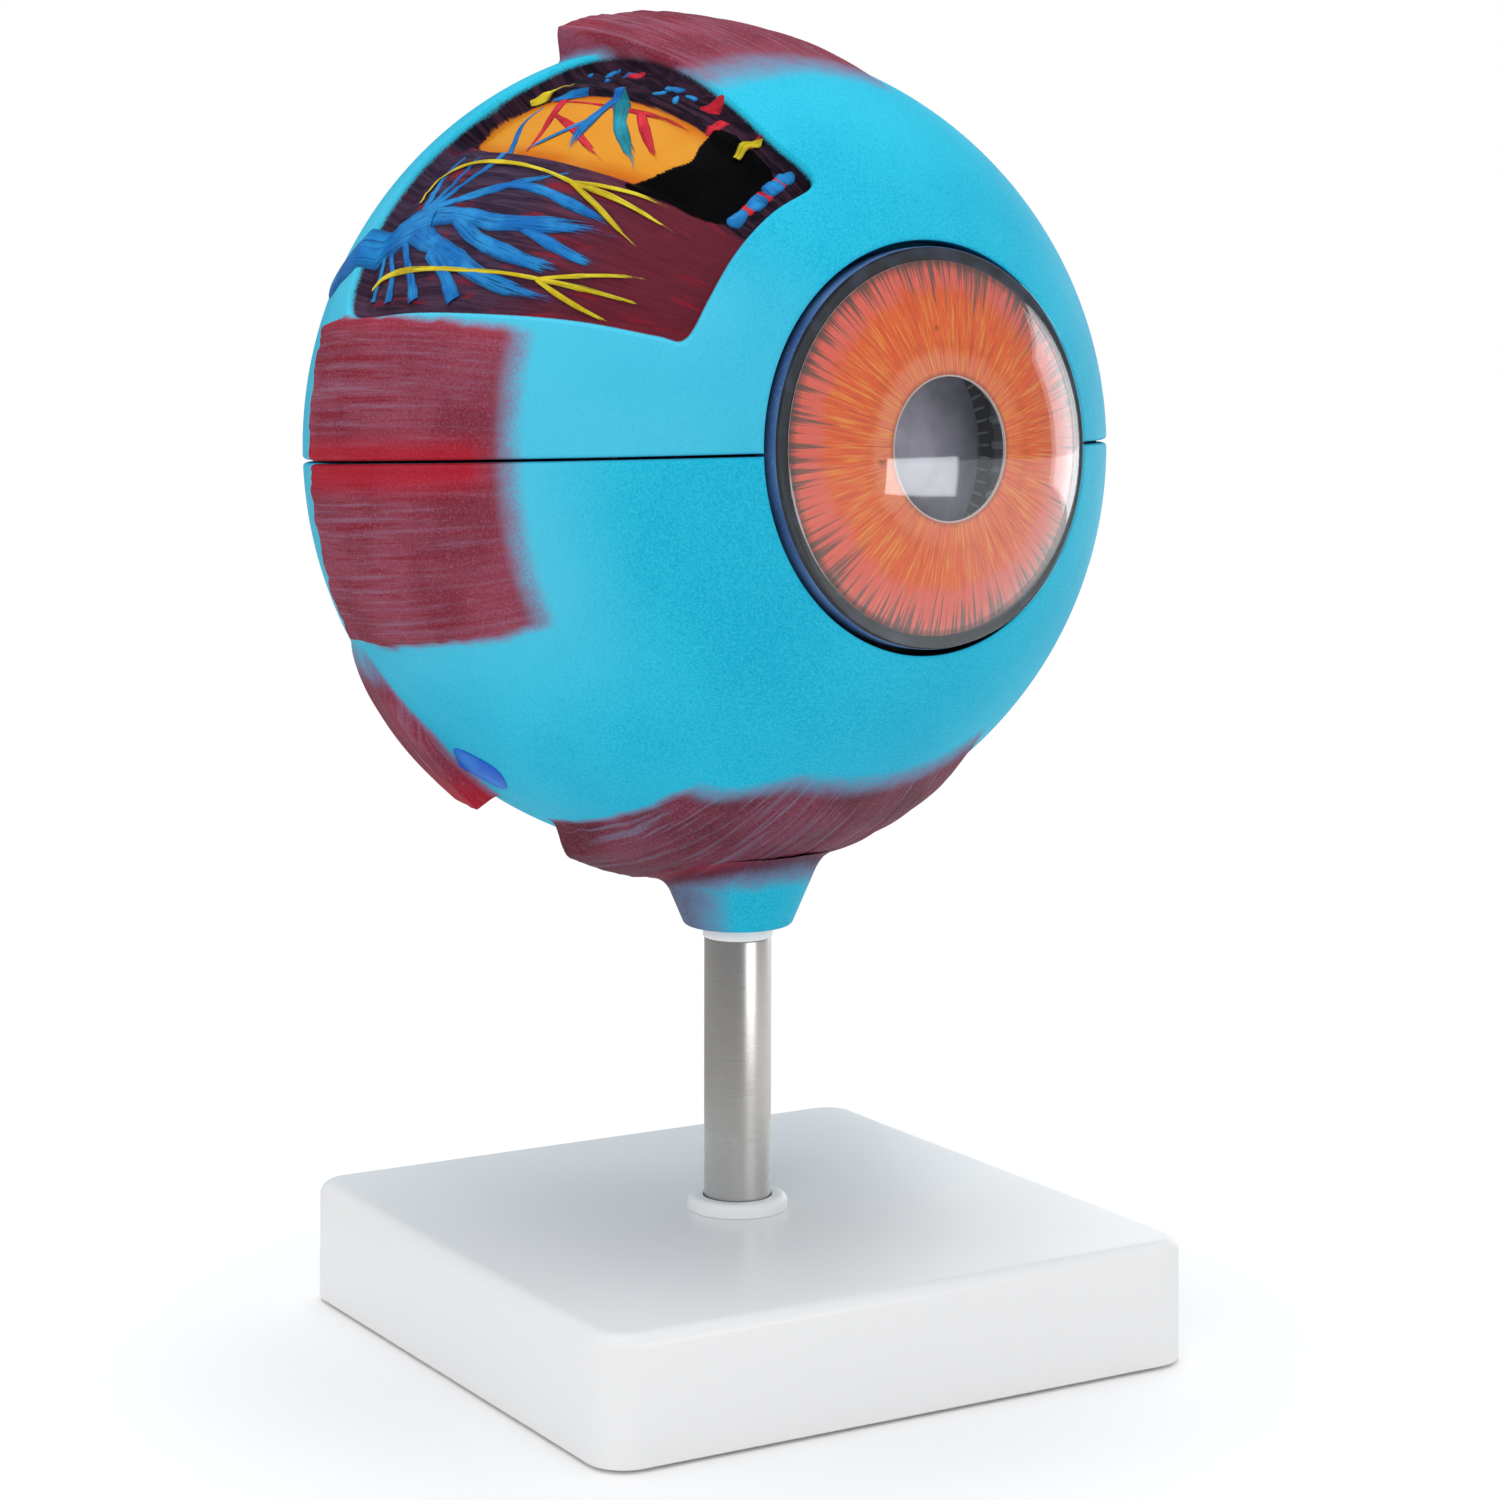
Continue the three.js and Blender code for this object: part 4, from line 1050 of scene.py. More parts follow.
def build_neck():
    """The neck's outside down to its foot, sprayed where the photo shows it"""
    downs = [[8.3, 14, 20, 24], np.linspace(25.5, 31, 14), np.linspace(32, 74, 64)]
    downs = np.radians(np.concatenate(downs))
    sides = np.radians(np.linspace(0, 360, 160, endpoint=False))
    down, side = np.meshgrid(downs, sides, indexing="ij")
    ways = np.stack([np.sin(down) * np.cos(side), np.sin(down) * np.sin(side), -np.cos(down)], -1)
    start = np.array([0, 0, NECK_RAYS_FROM])
    relief = np.zeros(down.shape)
    for _ in range(3):
        reach = neck_reach(start, ways, relief)
        alpha, beta, _ = globe_place(start + ways * reach[..., None])
        relief = sclera_relief(alpha, beta, False)[0]
    globe, cone = neck_parts(start + ways * reach[..., None], relief)
    reach -= 0.35 * smooth(cone - globe, FILLET + 0.3, FILLET + 3)
    points = start + ways * reach[..., None]
    alpha, beta, distance = globe_place(points)
    height, masks = sclera_relief(alpha, beta, False)
    below = distance - globe_radius(alpha) - height
    aside = (points[..., 0] * -0.86 + points[..., 1] * 0.51) / np.hypot(points[..., 0], points[..., 1])
    sprayed = smooth(aside, 0, 0.85)
    shade = np.maximum(masks["muscle"] * smooth(below, 5, 0.6), 0.72 * sprayed * smooth(below, -1, 1))
    fields = {key: np.full(down.size, OFF_WINDOW) for key in WINDOW_FIELDS}
    fields.update({key: np.zeros(down.size) for key in ("ends", "inside", "rim", "cut", "slant")})
    fields["plain"] = smooth(below, -0.6, 1.2).ravel()
    fields["crimson"] = (smooth(np.abs(below - 1.2), 2.6, 0.4) * smooth(aside, -0.7, 0.2)).ravel()
    fields["under"] = np.ones(down.size)
    fields["muscle"] = shade.ravel()
    polar = np.stack([alpha, beta], -1).reshape(-1, 2)
    faces = [f[::-1] for f in grid_faces(len(downs), len(sides), close_columns=True)]
    points = points.reshape(-1, 3)
    mesh_piece("neck", points, faces, "globe", [], sclera_paint, fields, polar)


build_neck()


# Raised painted strokes on the globe: vessels and nerves

LAYER = 0.012


class Strokes:
    """Strokes of one colour gathered into one mesh; a path is [alpha, beta] points, widths in mm"""

    def __init__(self, base):
        self.base = base
        self.points = []
        self.faces = []
        self.brush = []
        self.edge = []
        self.fade = []
        self.count = 0

    def surface(self, alpha, beta, lift):
        radius = self.base(alpha, beta) + lift
        angle = np.radians(alpha)
        return eye_points(radius * np.sin(angle), radius * np.cos(angle), beta)

    def keep(self, grid, along, across, edge, fade, close):
        rows, columns = grid.shape[:2]
        layers = (along, across, edge, fade)
        along, across, edge, fade = [np.broadcast_to(v, (rows, columns)).ravel() for v in layers]
        self.faces += grid_faces(rows, columns, close_columns=close, start=len(self.points))
        self.points += grid.reshape(-1, 3).tolist()
        self.brush += np.stack([along + 31.7 * self.count, across], -1).tolist()
        self.edge += edge.tolist()
        self.fade += fade.tolist()
        self.count += 1

    def line(self, path, widths, rise=0.1, most=0.3):
        """A brush stroke; one whose last width is small runs dry towards its end"""
        dry = widths[-1] < 0.5
        if dry:
            widths = widths[:-1] + [widths[-2] * 0.5]
        curve = curve_through(path, 10, closed=False)
        middle = self.surface(curve[:, 0], curve[:, 1], 0)
        run = np.concatenate([[0], np.cumsum(np.linalg.norm(np.diff(middle, axis=0), axis=1))])
        places = np.linspace(0, run[-1], max(int(run[-1] / 0.45), 6))
        alpha = np.interp(places, run, curve[:, 0])
        beta = np.interp(places, run, curve[:, 1])
        width = np.interp(places / run[-1], np.linspace(0, 1, len(widths)), widths)
        wobble = 1 + 0.14 * value_noise(places * 0.45, np.full(len(places), run[-1]), 31)
        width = (width * wobble)[:, None]
        squeeze = np.sin(np.radians(alpha))
        ahead = np.stack([np.gradient(alpha), np.gradient(beta) * squeeze])
        ahead /= np.hypot(*ahead)
        turns = np.radians(np.linspace(-100, 100, 9))
        aside = width * np.sin(turns) / 2 / MM_PER_DEGREE
        high = np.minimum(width * rise, most)
        alphas = alpha[:, None] - ahead[1][:, None] * aside
        betas = beta[:, None] + ahead[0][:, None] * aside / squeeze[:, None]
        grid = self.surface(alphas, betas, high * np.cos(turns) + LAYER * self.count)
        fade = smooth(places / run[-1], 0.4, 1)[:, None] * dry
        self.keep(grid, places[:, None], width * np.sin(turns) / 2, np.abs(np.sin(turns)), fade, False)

    def spot(self, alpha, beta, long, wide, lean=0, high=0.35):
        """A squashed dab; long and wide in mm, lean in degrees from the alpha direction"""
        turns = np.linspace(0, 2 * np.pi, 24, endpoint=False)
        rings = np.array([0.02, 0.35, 0.62, 0.84, 0.96, 1.02])[:, None]
        square = 1 + 0.1 * (1 - np.cos(4 * turns)) / 2
        ragged = square * (1 + 0.06 * np.sin(turns * 2 + alpha) + 0.03 * np.sin(turns * 3 + beta))
        x = rings * np.cos(turns) * ragged * long / 2
        y = rings * np.sin(turns) * ragged * wide / 2
        cos, sin = math.cos(math.radians(lean)), math.sin(math.radians(lean))
        alphas = alpha + (x * cos - y * sin) / MM_PER_DEGREE
        betas = beta + (x * sin + y * cos) / MM_PER_DEGREE / math.sin(math.radians(alpha))
        lift = high * np.sqrt(np.clip(1 - rings**2, 0, 1)) - 0.12 * (rings > 1)
        grid = self.surface(alphas, betas, lift + 0 * x)
        self.keep(grid, x, y, rings, 0, True)

    def piece(self, name, body, slot, paint):
        points = in_world(self.points)
        faces = [f[::-1] for f in self.faces]
        fields = {"edge": self.edge, "fade": self.fade}
        mesh_piece(name, points, faces, body, [], paint, fields, self.brush, sharp=60)


def brushed_paint(name, middle, light, deep, roughness=0.42):
    """Thin brushed paint whose streaks run along each stroke and break up where the brush ran dry"""
    paint = Paint(name, roughness=roughness, Specular_IOR_Level=0.2)
    brush = paint.noise(paint.polar((0.14, 2.6, 1)), detail=4, roughness=0.65, twist=0.25)
    patch = paint.noise(paint.place(), scale=150, detail=2)
    edge = paint.attribute("edge")
    fade = paint.attribute("fade")
    color = paint.mix(patch.step(0.35, 0.65), middle, light)
    color = paint.mix(brush.step(0.5, 0.34) * 0.75, color, deep)
    color = paint.mix(edge.step(0.45, 1) * 0.4 + fade * 0.3, color, deep)
    color = paint.mix(brush.step(0.57, 0.7) * 0.55, color, light)
    paint.set("Base Color", color)
    cover = (brush - 0.5) * 1.7 - fade * 0.95 - edge * 0.22 + 1.15
    paint.set("Alpha", cover.step(0.34, 0.62))
    paint.set("Roughness", brush * 0.25 + (roughness - 0.1))
    paint.bump(brush, 0.3, 0.15 * MM)
    return paint


blue_paint = brushed_paint("vein_blue", linear(8, 104, 182), linear(34, 138, 206), linear(8, 54, 100))
teal_paint = brushed_paint("vein_teal", linear(6, 122, 140), linear(24, 150, 176), linear(20, 82, 84))
red_paint = brushed_paint("artery_red", linear(186, 16, 40), linear(214, 44, 62), linear(112, 10, 28))
nerve_yellow = linear(196, 170, 14), linear(222, 204, 46), linear(88, 96, 24)
yellow_paint = brushed_paint("nerve_yellow", *nerve_yellow)
oblique_blue = brushed_paint("oblique_blue", linear(8, 92, 204), linear(34, 128, 222), linear(6, 74, 176))

# What is painted in the window: a stroke's path of [alpha, beta] points and its widths in mm, and for
# the trunk how high it is for its width and at most; a dab is as for Strokes.spot
VEINS = [
    ([(109.5, 153.6), (104.5, 152), (100, 150.2), (96, 148), (91.5, 146), (87, 144.6)],
     [5.6, 6.2, 6.8, 7.4, 8, 5], 0.12, 0.6),
    ([(91, 143), (91.6, 139.5), (91.8, 136), (90.5, 133)], [2.4, 1.7, 1.4, 0.6]),
    ([(90, 142.5), (88, 138.5), (87, 134.5), (86.5, 131)], [1.7, 1.1, 1.0, 0.4]),
    ([(89, 142.5), (85, 138), (82, 133.5), (83.5, 129.5), (87, 124), (87.5, 119.6)],
     [1.8, 1.1, 1.2, 1.4, 1.0, 0.5]),
    ([(90, 143), (83, 141), (77, 138.5), (71, 135.5), (65, 131.5)], [2.6, 1.8, 1.9, 1.2, 0.4]),
    ([(76, 138), (70, 137.8), (63, 139), (58, 139.8), (53, 139.6)], [1.3, 1.9, 2.2, 1.5, 0.3]),
    ([(91, 144.5), (81, 144), (74, 144.5), (67, 143.5), (60, 142.2), (51, 141.2)],
     [5.2, 3.8, 3.6, 3.6, 3, 0.3]),
    ([(69, 144.5), (64, 146), (59, 147.2), (53, 147.8)], [1.8, 2.3, 1.9, 0.3]),
    ([(82, 144.6), (76, 147.5), (70, 149), (63, 150), (56, 150.2)], [2.8, 2.8, 3.0, 2.6, 0.4]),
    ([(93, 145.5), (85, 148.5), (78, 151), (71, 153.5), (63, 154.8), (54, 154.8)],
     [5.4, 4.8, 4.2, 3.2, 2.6, 0.3]),
    ([(97, 147.5), (95.6, 150.5), (94.5, 153.5), (94, 157.5)], [1.5, 1.2, 1.3, 1.9]),
    ([(94.5, 147.5), (93.5, 150.5), (91, 153.5), (89.5, 157.8)], [1.4, 1.1, 1.6, 2.1]),
    ([(91.5, 148), (89, 151), (86, 154), (83.5, 157.6)], [1.6, 1.3, 1.9, 2.6]),
    ([(84, 150), (79.5, 153), (75.5, 157.2)], [3.2, 2.6, 3.2]),
    ([(75.5, 114), (74.8, 118.5), (74, 123.5), (72.8, 127.5), (71, 130.6)], [2.6, 1.8, 2.4, 1.6, 0.4]),
    ([(74.4, 121.5), (77, 126), (79.5, 129.5), (82, 131.2)], [1.4, 1.0, 0.8, 0.4]),
    ([(87, 117.8), (84, 116.6), (81, 115.6)], [0.6, 1.4, 1.0]),
]
VEIN_DABS = [
    (86, 111, 1.4, 1.2, 0), (82, 110, 3.4, 1.8, 80), (80.4, 112.4, 1.2, 1, 0),
    (78.6, 109.6, 3, 1.8, 70), (68.6, 109.8, 4.2, 2.2, 10), (69.6, 112, 2.6, 1.3, 40),
    (66, 112.2, 2.4, 1.3, -40), (65, 110, 2.4, 1.3, 20), (43.2, 126.8, 3.2, 4.6, 15),
    (43, 121.2, 3.2, 4.4, 10), (43.5, 116, 3.2, 4.2, 5), (43.7, 112.4, 2.8, 3.2, 0),
]
GREEN_VEIN = [
    ([(76, 114), (72.5, 117), (69.5, 120.5), (65.5, 123.8), (62, 126.5), (58.6, 130)],
     [1.6, 3.2, 2.8, 2.4, 1.5, 0.3]),
]
ARTERIES = [
    ([(85, 117.4), (82.5, 122), (80.5, 126), (79.5, 130.5)], [2.4, 1.9, 1.2, 0.5]),
    ([(85, 117.8), (78, 117.6), (71, 117), (64, 115.9), (59, 116), (56.5, 117.4)],
     [0.7, 0.7, 1.1, 1.6, 1.2, 0.3]),
    ([(82.4, 121.6), (76, 124), (70, 127), (63.5, 130)], [0.9, 2, 1.3, 0.2]),
    ([(69, 116.6), (65.4, 119.6), (61.6, 122.6), (57.4, 125.4)], [1.7, 2.3, 1.4, 0.3]),
]
ARTERY_DABS = [
    (77.6, 109.4, 3.6, 2.6, 30), (60.6, 110.2, 4.4, 2.8, 30), (57.2, 112.6, 4.6, 1.8, 70),
    (43.2, 124, 3, 2.6, 12), (43.2, 118.6, 3, 2.4, 8), (43.6, 114.2, 2.8, 2, 0),
    (51, 111.6, 2.6, 1.2, 80),
]
NERVES = [
    ([(93.4, 141.6), (93.2, 138.6), (91, 136), (86, 134.6), (79, 134.2), (71, 134.6), (64, 135.6)],
     [0.6, 0.8, 0.9, 1.0, 0.8, 0.8, 0.9]),
    ([(66, 135.2), (60, 133.8), (55, 133), (49, 133)], [0.8, 0.9, 0.6, 0.1]),
    ([(66, 135.4), (59, 135.4), (53, 136), (46, 137.2)], [1.0, 1.3, 0.7, 0.1]),
    ([(66, 135.4), (60, 138), (55, 140.6), (50, 143)], [0.9, 1.2, 0.7, 0.1]),
    ([(95, 155.6), (93, 154), (89, 153.2), (83, 152.8), (76, 152.6), (68, 152.2), (61, 152.2)],
     [1.0, 1.3, 1.1, 0.9, 0.8, 0.8, 0.9]),
    ([(63, 152.2), (57, 150), (51, 147.8), (46, 146.6)], [0.7, 0.9, 0.6, 0.1]),
    ([(62, 152.2), (55, 152), (49, 152), (44, 152.2)], [0.9, 1.1, 0.6, 0.1]),
    ([(63, 152.4), (58, 154.4), (53, 156), (48.5, 157)], [0.7, 1.1, 0.7, 0.1]),
    ([(50, 110.8), (51.4, 112.4), (51, 115.4)], [0.9, 2.0, 1.3]),
    ([(90, 119.6), (88.5, 118.2), (87, 116), (84.5, 115)], [0.6, 1.3, 1.4, 0.8]),
]
# Vein colour beside the stub of the inferior oblique
OBLIQUE_DABS = [(90, 227.6, 10.5, 10.5, -39, 0.6)]


def window_base(alpha, beta):
    return globe_radius(alpha) + window_relief(alpha, beta)[0]


def nerve_base(alpha, beta):
    return window_base(alpha, beta) + 0.3


def lower_base(alpha, beta):
    places = np.asarray(alpha, float), np.asarray(beta, float)
    return globe_radius(alpha) + sclera_relief(*places, False)[0]


def painted(name, paint, strokes, dabs=(), base=window_base, body="upper_shell"):
    """One piece of all strokes and dabs of one colour"""
    brush = Strokes(base)
    for stroke in strokes:
        brush.line(*stroke)
    for dab in dabs:
        brush.spot(*dab)
    brush.piece(name, body, "sclera_paint", paint)


painted("window_veins", blue_paint, VEINS, VEIN_DABS)
painted("window_green_vein", teal_paint, GREEN_VEIN)
painted("window_arteries", red_paint, ARTERIES, [(*dab, 0.2) for dab in ARTERY_DABS])
painted("window_nerves", yellow_paint, NERVES, base=nerve_base)
painted("oblique_vein", oblique_blue, [], OBLIQUE_DABS, lower_base, "globe")


# Optic nerve: half a stub on each half of the sclera, and the vessels in its end

nerve_turn = math.radians(NERVE_ANGLE)
NERVE_WAY = np.array([math.sin(nerve_turn), math.cos(nerve_turn), 0])
NERVE_SIDE = np.array([math.cos(nerve_turn), -math.sin(nerve_turn), 0])
nerve_end = float(globe_radius(180 - NERVE_ANGLE)) + NERVE_LENGTH
nerve_face = nerve_end - 0.4


def nerve_points(across, up, along):
    """Points beside and above the nerve's own line, at distances along it from the eye's centre"""
    across, up, along = np.broadcast_arrays(across, up, along)
    grid = NERVE_WAY * along[..., None] + NERVE_SIDE * across[..., None]
    return grid + np.array([0, 0, 1]) * up[..., None]


def half_stub(name, upper, body):
    """Half of the nerve's stub: its sheath, the nerve that stands out of it and the cut face"""
    sheath_end = nerve_end - 2
    profile = [(13.5, 63.4), (12.6, 65.2), (11.6, 66.8), (10.9, 68.6), (SHEATH_RADIUS, 71)]
    profile += [(SHEATH_RADIUS, sheath_end - 0.5), (SHEATH_RADIUS - 0.2, sheath_end - 0.1)]
    profile += [(SHEATH_RADIUS - 0.6, sheath_end)]
    sheath_rows = len(profile)
    profile += [(NERVE_RADIUS + 0.25, sheath_end), (NERVE_RADIUS, sheath_end - 0.4)]
    profile += [(NERVE_RADIUS, nerve_end - 0.8), (NERVE_RADIUS - 0.25, nerve_end - 0.25)]
    profile += [(NERVE_RADIUS - 0.8, nerve_end), (NERVE_RADIUS - 1.1, nerve_face)]
    profile += [(4, nerve_face), (2, nerve_face), (0.5, nerve_face)]
    profile = np.array(profile)
    shares = np.linspace(0, 1, 61)
    turns = np.radians(half_angles(profile[:, :1], shares, upper))
    grid = nerve_points(profile[:, :1] * np.cos(turns), profile[:, :1] * np.sin(turns), profile[:, 1:])
    rows, columns = grid.shape[:2]
    core = np.repeat(np.arange(rows) >= sheath_rows, columns).astype(float)
    faces = grid_faces(rows, columns)
    flat = grid.reshape(-1, 3)
    edge = np.arange(rows) * columns
    edge = np.concatenate([edge, edge[::-1] + columns - 1])
    ring = list(range(len(flat), len(flat) + len(edge)))
    flat = np.concatenate([flat, flat[edge]])
    faces.append(ring if upper else ring[::-1])
    fields = {"core": np.concatenate([core, np.full(len(edge), 0.5)])}
    polar = np.stack([flat @ NERVE_SIDE, flat[:, 2]], -1)
    mesh_piece(name, in_world(flat), faces, body, [], nerve_paint, fields, polar)


nerve_paint = Paint("nerve_stub", roughness=0.45)
grain = nerve_paint.noise(nerve_paint.place(), scale=2400, detail=2)
bundles = nerve_paint.cells(nerve_paint.place((1, 0.05, 1)), scale=760)
sheath = nerve_paint.mix(grain.step(0.4, 0.7), linear(44, 172, 208), linear(84, 196, 222))
bundle = nerve_paint.mix(bundles.step(0.2, 0.6), linear(232, 206, 96), linear(190, 146, 52))
bundle = nerve_paint.mix(grain.step(0.5, 0.75) * 0.3, bundle, linear(244, 226, 150))
core = nerve_paint.attribute("core")
nerve_paint.set("Base Color", nerve_paint.mix(core.step(0.55, 0.75), sheath, bundle))
nerve_paint.set("Roughness", grain * 0.2 + 0.38)
nerve_paint.bump(grain * 0.4 + bundles * core * 1.5, 0.4, 0.25 * MM)
half_stub("nerve_top", True, "upper_shell")
half_stub("nerve_bottom", False, "globe")


def bundle_shaper():
    """Low domes scattered over a face, as the ends of nerve bundles"""
    shaper = Shaper("nerve_bundles", bundle_radius=0.4, spacing=0.82, seed=4)
    settings = {"distribute_method": "POISSON"}
    sizes = {"Distance_Min": shaper.size("Spacing"), "Density_Max": 4.0, "Seed": shaper.size("Seed")}
    scatter = shaper.node(
        "GeometryNodeDistributePointsOnFaces", settings, shaper.size("Geometry"), **sizes
    )
    dome = shaper.node("GeometryNodeMeshUVSphere", (), 8, 5, shaper.size("Bundle Radius"))
    squash = (1, 0.75, 1)
    domes = shaper.node("GeometryNodeInstanceOnPoints", (), scatter, Instance=dome, Scale=squash)
    field = {"data_type": "FLOAT"}
    marked = shaper.node("GeometryNodeStoreNamedAttribute", field, domes, Name="core", Value=1.0)
    shaper.end(marked, nerve_paint)
    return shaper


def bundle_field(upper):
    """Half of the nerve's cut face, kept off the rim and the seam"""
    turns = np.radians(np.linspace(5, 175, 25) + (0 if upper else 180))
    out = NERVE_RADIUS - 1.7
    up = 0.55 if upper else -0.55
    rim = nerve_points(out * np.cos(turns), up + out * 0.96 * np.sin(turns), nerve_face)
    mesh = bpy.data.meshes.new("bundle_field")
    mesh.from_pydata(in_world(rim).tolist(), [], [list(range(len(rim)))])
    return mesh


bundles_tree = bundle_shaper()
bundles_tree.piece("nerve_bundles_top", bundle_field(True), "upper_shell", "sclera_paint", seed=4)
bundles_tree.piece("nerve_bundles_bottom", bundle_field(False), "globe", "sclera_paint", seed=9)


def vessel_end(name, up, body, paint):
    """The domed end of a vessel in the middle of the nerve's cut face"""
    turns = np.linspace(0, 2 * np.pi, 20, endpoint=False)
    rings = np.radians([4, 25, 45, 65, 80, 92])[:, None]
    across, above = np.sin(rings) * np.cos(turns) * 1.05, np.sin(rings) * np.sin(turns) * 0.95
    grid = nerve_points(across, up + above, nerve_end - 0.75 + 0.7 * np.cos(rings))
    faces = grid_faces(len(rings), len(turns), close_columns=True)
    mesh_piece(name, in_world(grid.reshape(-1, 3)), faces, body, [], paint)


vessel_end("nerve_artery", 1.6, "upper_shell", red_paint)
vessel_end("nerve_vein", -1.6, "globe", blue_paint)

# Cornea, limbus ring and iris

EYE_SIDES = 160


def eye_lathe(profile, sides=EYE_SIDES):
    """Points and faces of a closed ring profile of [radius, depth] round the optical axis"""
    turns = np.linspace(0, 360, sides, endpoint=False)
    profile = np.asarray(profile, float)
    grid = eye_points(profile[:, :1], profile[:, 1:], turns[None])
    faces = grid_faces(len(profile), sides, close_rows=True, close_columns=True)
    return in_world(grid.reshape(-1, 3)), faces


def cap_arc(curve, rim, base, start, end, steps, bulge=1):
    """A spherical cap between two radii, as [radius, depth] points"""
    out = np.linspace(start, end, steps)
    depth = base + bulge * (np.sqrt(curve**2 - out**2) - math.sqrt(curve**2 - rim**2))
    return list(zip(out, depth))


def clear_paint(name, tint, haze, roughness=0.04, metallic=1.0, color=(0.9, 0.94, 0.96, 1)):
    """Thin clear plastic: straight through, with a reflection that grows towards the edges"""
    paint = Paint(name, roughness=roughness, metallic=metallic, color=color)
    smear = paint.noise(paint.place(), scale=70, detail=3, roughness=0.6)
    fine = paint.noise(paint.place(), scale=500, detail=2)
    paint.set("Roughness", smear * 0.05 + fine * 0.02 + roughness - 0.02)
    through = paint.node("ShaderNodeBsdfTransparent", (), tint)
    facing = paint.node("ShaderNodeLayerWeight", output="Facing")
    share = (facing**5 * 0.9 + (smear.step(0.3, 0.7) * 0.6 + 0.4) * haze + 0.04).clamped()
    blend = paint.node("ShaderNodeMixShader", (), share, through, Wire(paint, paint.shader.outputs[0]))
    paint.feed(paint.tree.nodes["Material Output"].inputs["Surface"], blend)
    return paint


slate_paint = Paint("limbus_blue", roughness=0.45)
speck = slate_paint.noise(slate_paint.place(), scale=1500, detail=2)
cloud = slate_paint.noise(slate_paint.place(), scale=60, detail=2)
slate = slate_paint.mix(cloud.step(0.35, 0.65), linear(52, 88, 142), linear(78, 118, 170))
slate = slate_paint.mix(speck.step(0.55, 0.75) * 0.4, slate, linear(120, 150, 190))
# The ring's front face under the cornea's flange is dark slate with bluish patches: painted shade under
# the flange
patch = slate_paint.noise(slate_paint.place((1, 0.2, 1)), scale=170, detail=1)
flange_shadow = slate_paint.mix(patch.step(0.48, 0.66), linear(26, 28, 34), linear(46, 56, 74))
front = slate_paint.attribute("front")
slate_paint.set("Base Color", slate_paint.mix(front.step(0.4, 0.6), slate, flange_shadow))
slate_paint.set("Roughness", speck * 0.2 + 0.36)
slate_paint.bump(speck, 0.25, 0.15 * MM)
limbus_profile = [(29.1, 60.3), (33.5, 60.3), (33.5, 66.2), (29.1, 66.2)]
limbus_profile = rounded(limbus_profile, [0.3, 0.3, 0.4, 0.4])
points, faces = eye_lathe(limbus_profile)
fronts = [float(depth > 65.9 and out < 33.4) for out, depth in limbus_profile]
fields = {"front": np.repeat(fronts, EYE_SIDES)}
mesh_piece("limbus", points, faces, "cornea_unit", ["limbus_ring"], slate_paint, fields)

PUPIL = 12.0
IRIS = 31.2
IRIS_CURVE = 125
IRIS_BACK = 66.3
IRIS_SHEET = 0.45
IRIS_ROWS = 70
IRIS_BACK_ROWS = 12
IRIS_SIDES = 420
IRIS_GROOVES = 150
IRIS_TICKS = 92


def iris_depth(out):
    return IRIS_BACK + np.sqrt(IRIS_CURVE**2 - out**2) - math.sqrt(IRIS_CURVE**2 - IRIS**2)


def build_iris():
    """A thin domed disc whose front has shallow grooves, with its back in the same grid"""
    turns = np.linspace(0, 360, IRIS_SIDES, endpoint=False)
    front_radii = np.linspace(PUPIL, IRIS - 0.15, IRIS_ROWS)
    back_radii = np.linspace(IRIS - 0.4, PUPIL, IRIS_BACK_ROWS)
    radii = np.concatenate([front_radii, [IRIS, IRIS, IRIS - 0.15], back_radii])[:, None]
    rise = np.concatenate([np.ones(IRIS_ROWS), [0.8, 0.2, 0], np.zeros(IRIS_BACK_ROWS)])
    front = IRIS_SHEET * rise[:, None]
    rows, columns = len(radii), len(turns)
    round_way = np.broadcast_to(turns / 360 * IRIS_GROOVES, (rows, columns))
    grooves = value_noise(round_way % IRIS_GROOVES, radii * 0.35, 41)
    ripple = 0.1 * np.minimum(grooves, 0) * (front > IRIS_SHEET * 0.9)
    ripple *= smooth(radii, PUPIL, PUPIL + 2) * smooth(radii, IRIS, IRIS - 2)
    out, turn, shown = np.broadcast_arrays(radii, turns, front > IRIS_SHEET * 0.7)
    grid = eye_points(out, iris_depth(radii) + front + ripple, turn)
    faces = [f[::-1] for f in grid_faces(rows, columns, close_rows=True, close_columns=True)]
    angle = np.radians(turn).ravel()
    fields = {"shown": shown.astype(float).ravel(), "out": out.ravel() / IRIS}
    fields.update(east=np.cos(angle), north=np.sin(angle))
    polar = np.stack([turn / 360, out / IRIS], -1).reshape(-1, 2)
    points = in_world(grid.reshape(-1, 3))
    paint = iris_paint()
    mesh_piece("iris_disc", points, faces, "cornea_unit", ["iris"], paint, fields, polar)


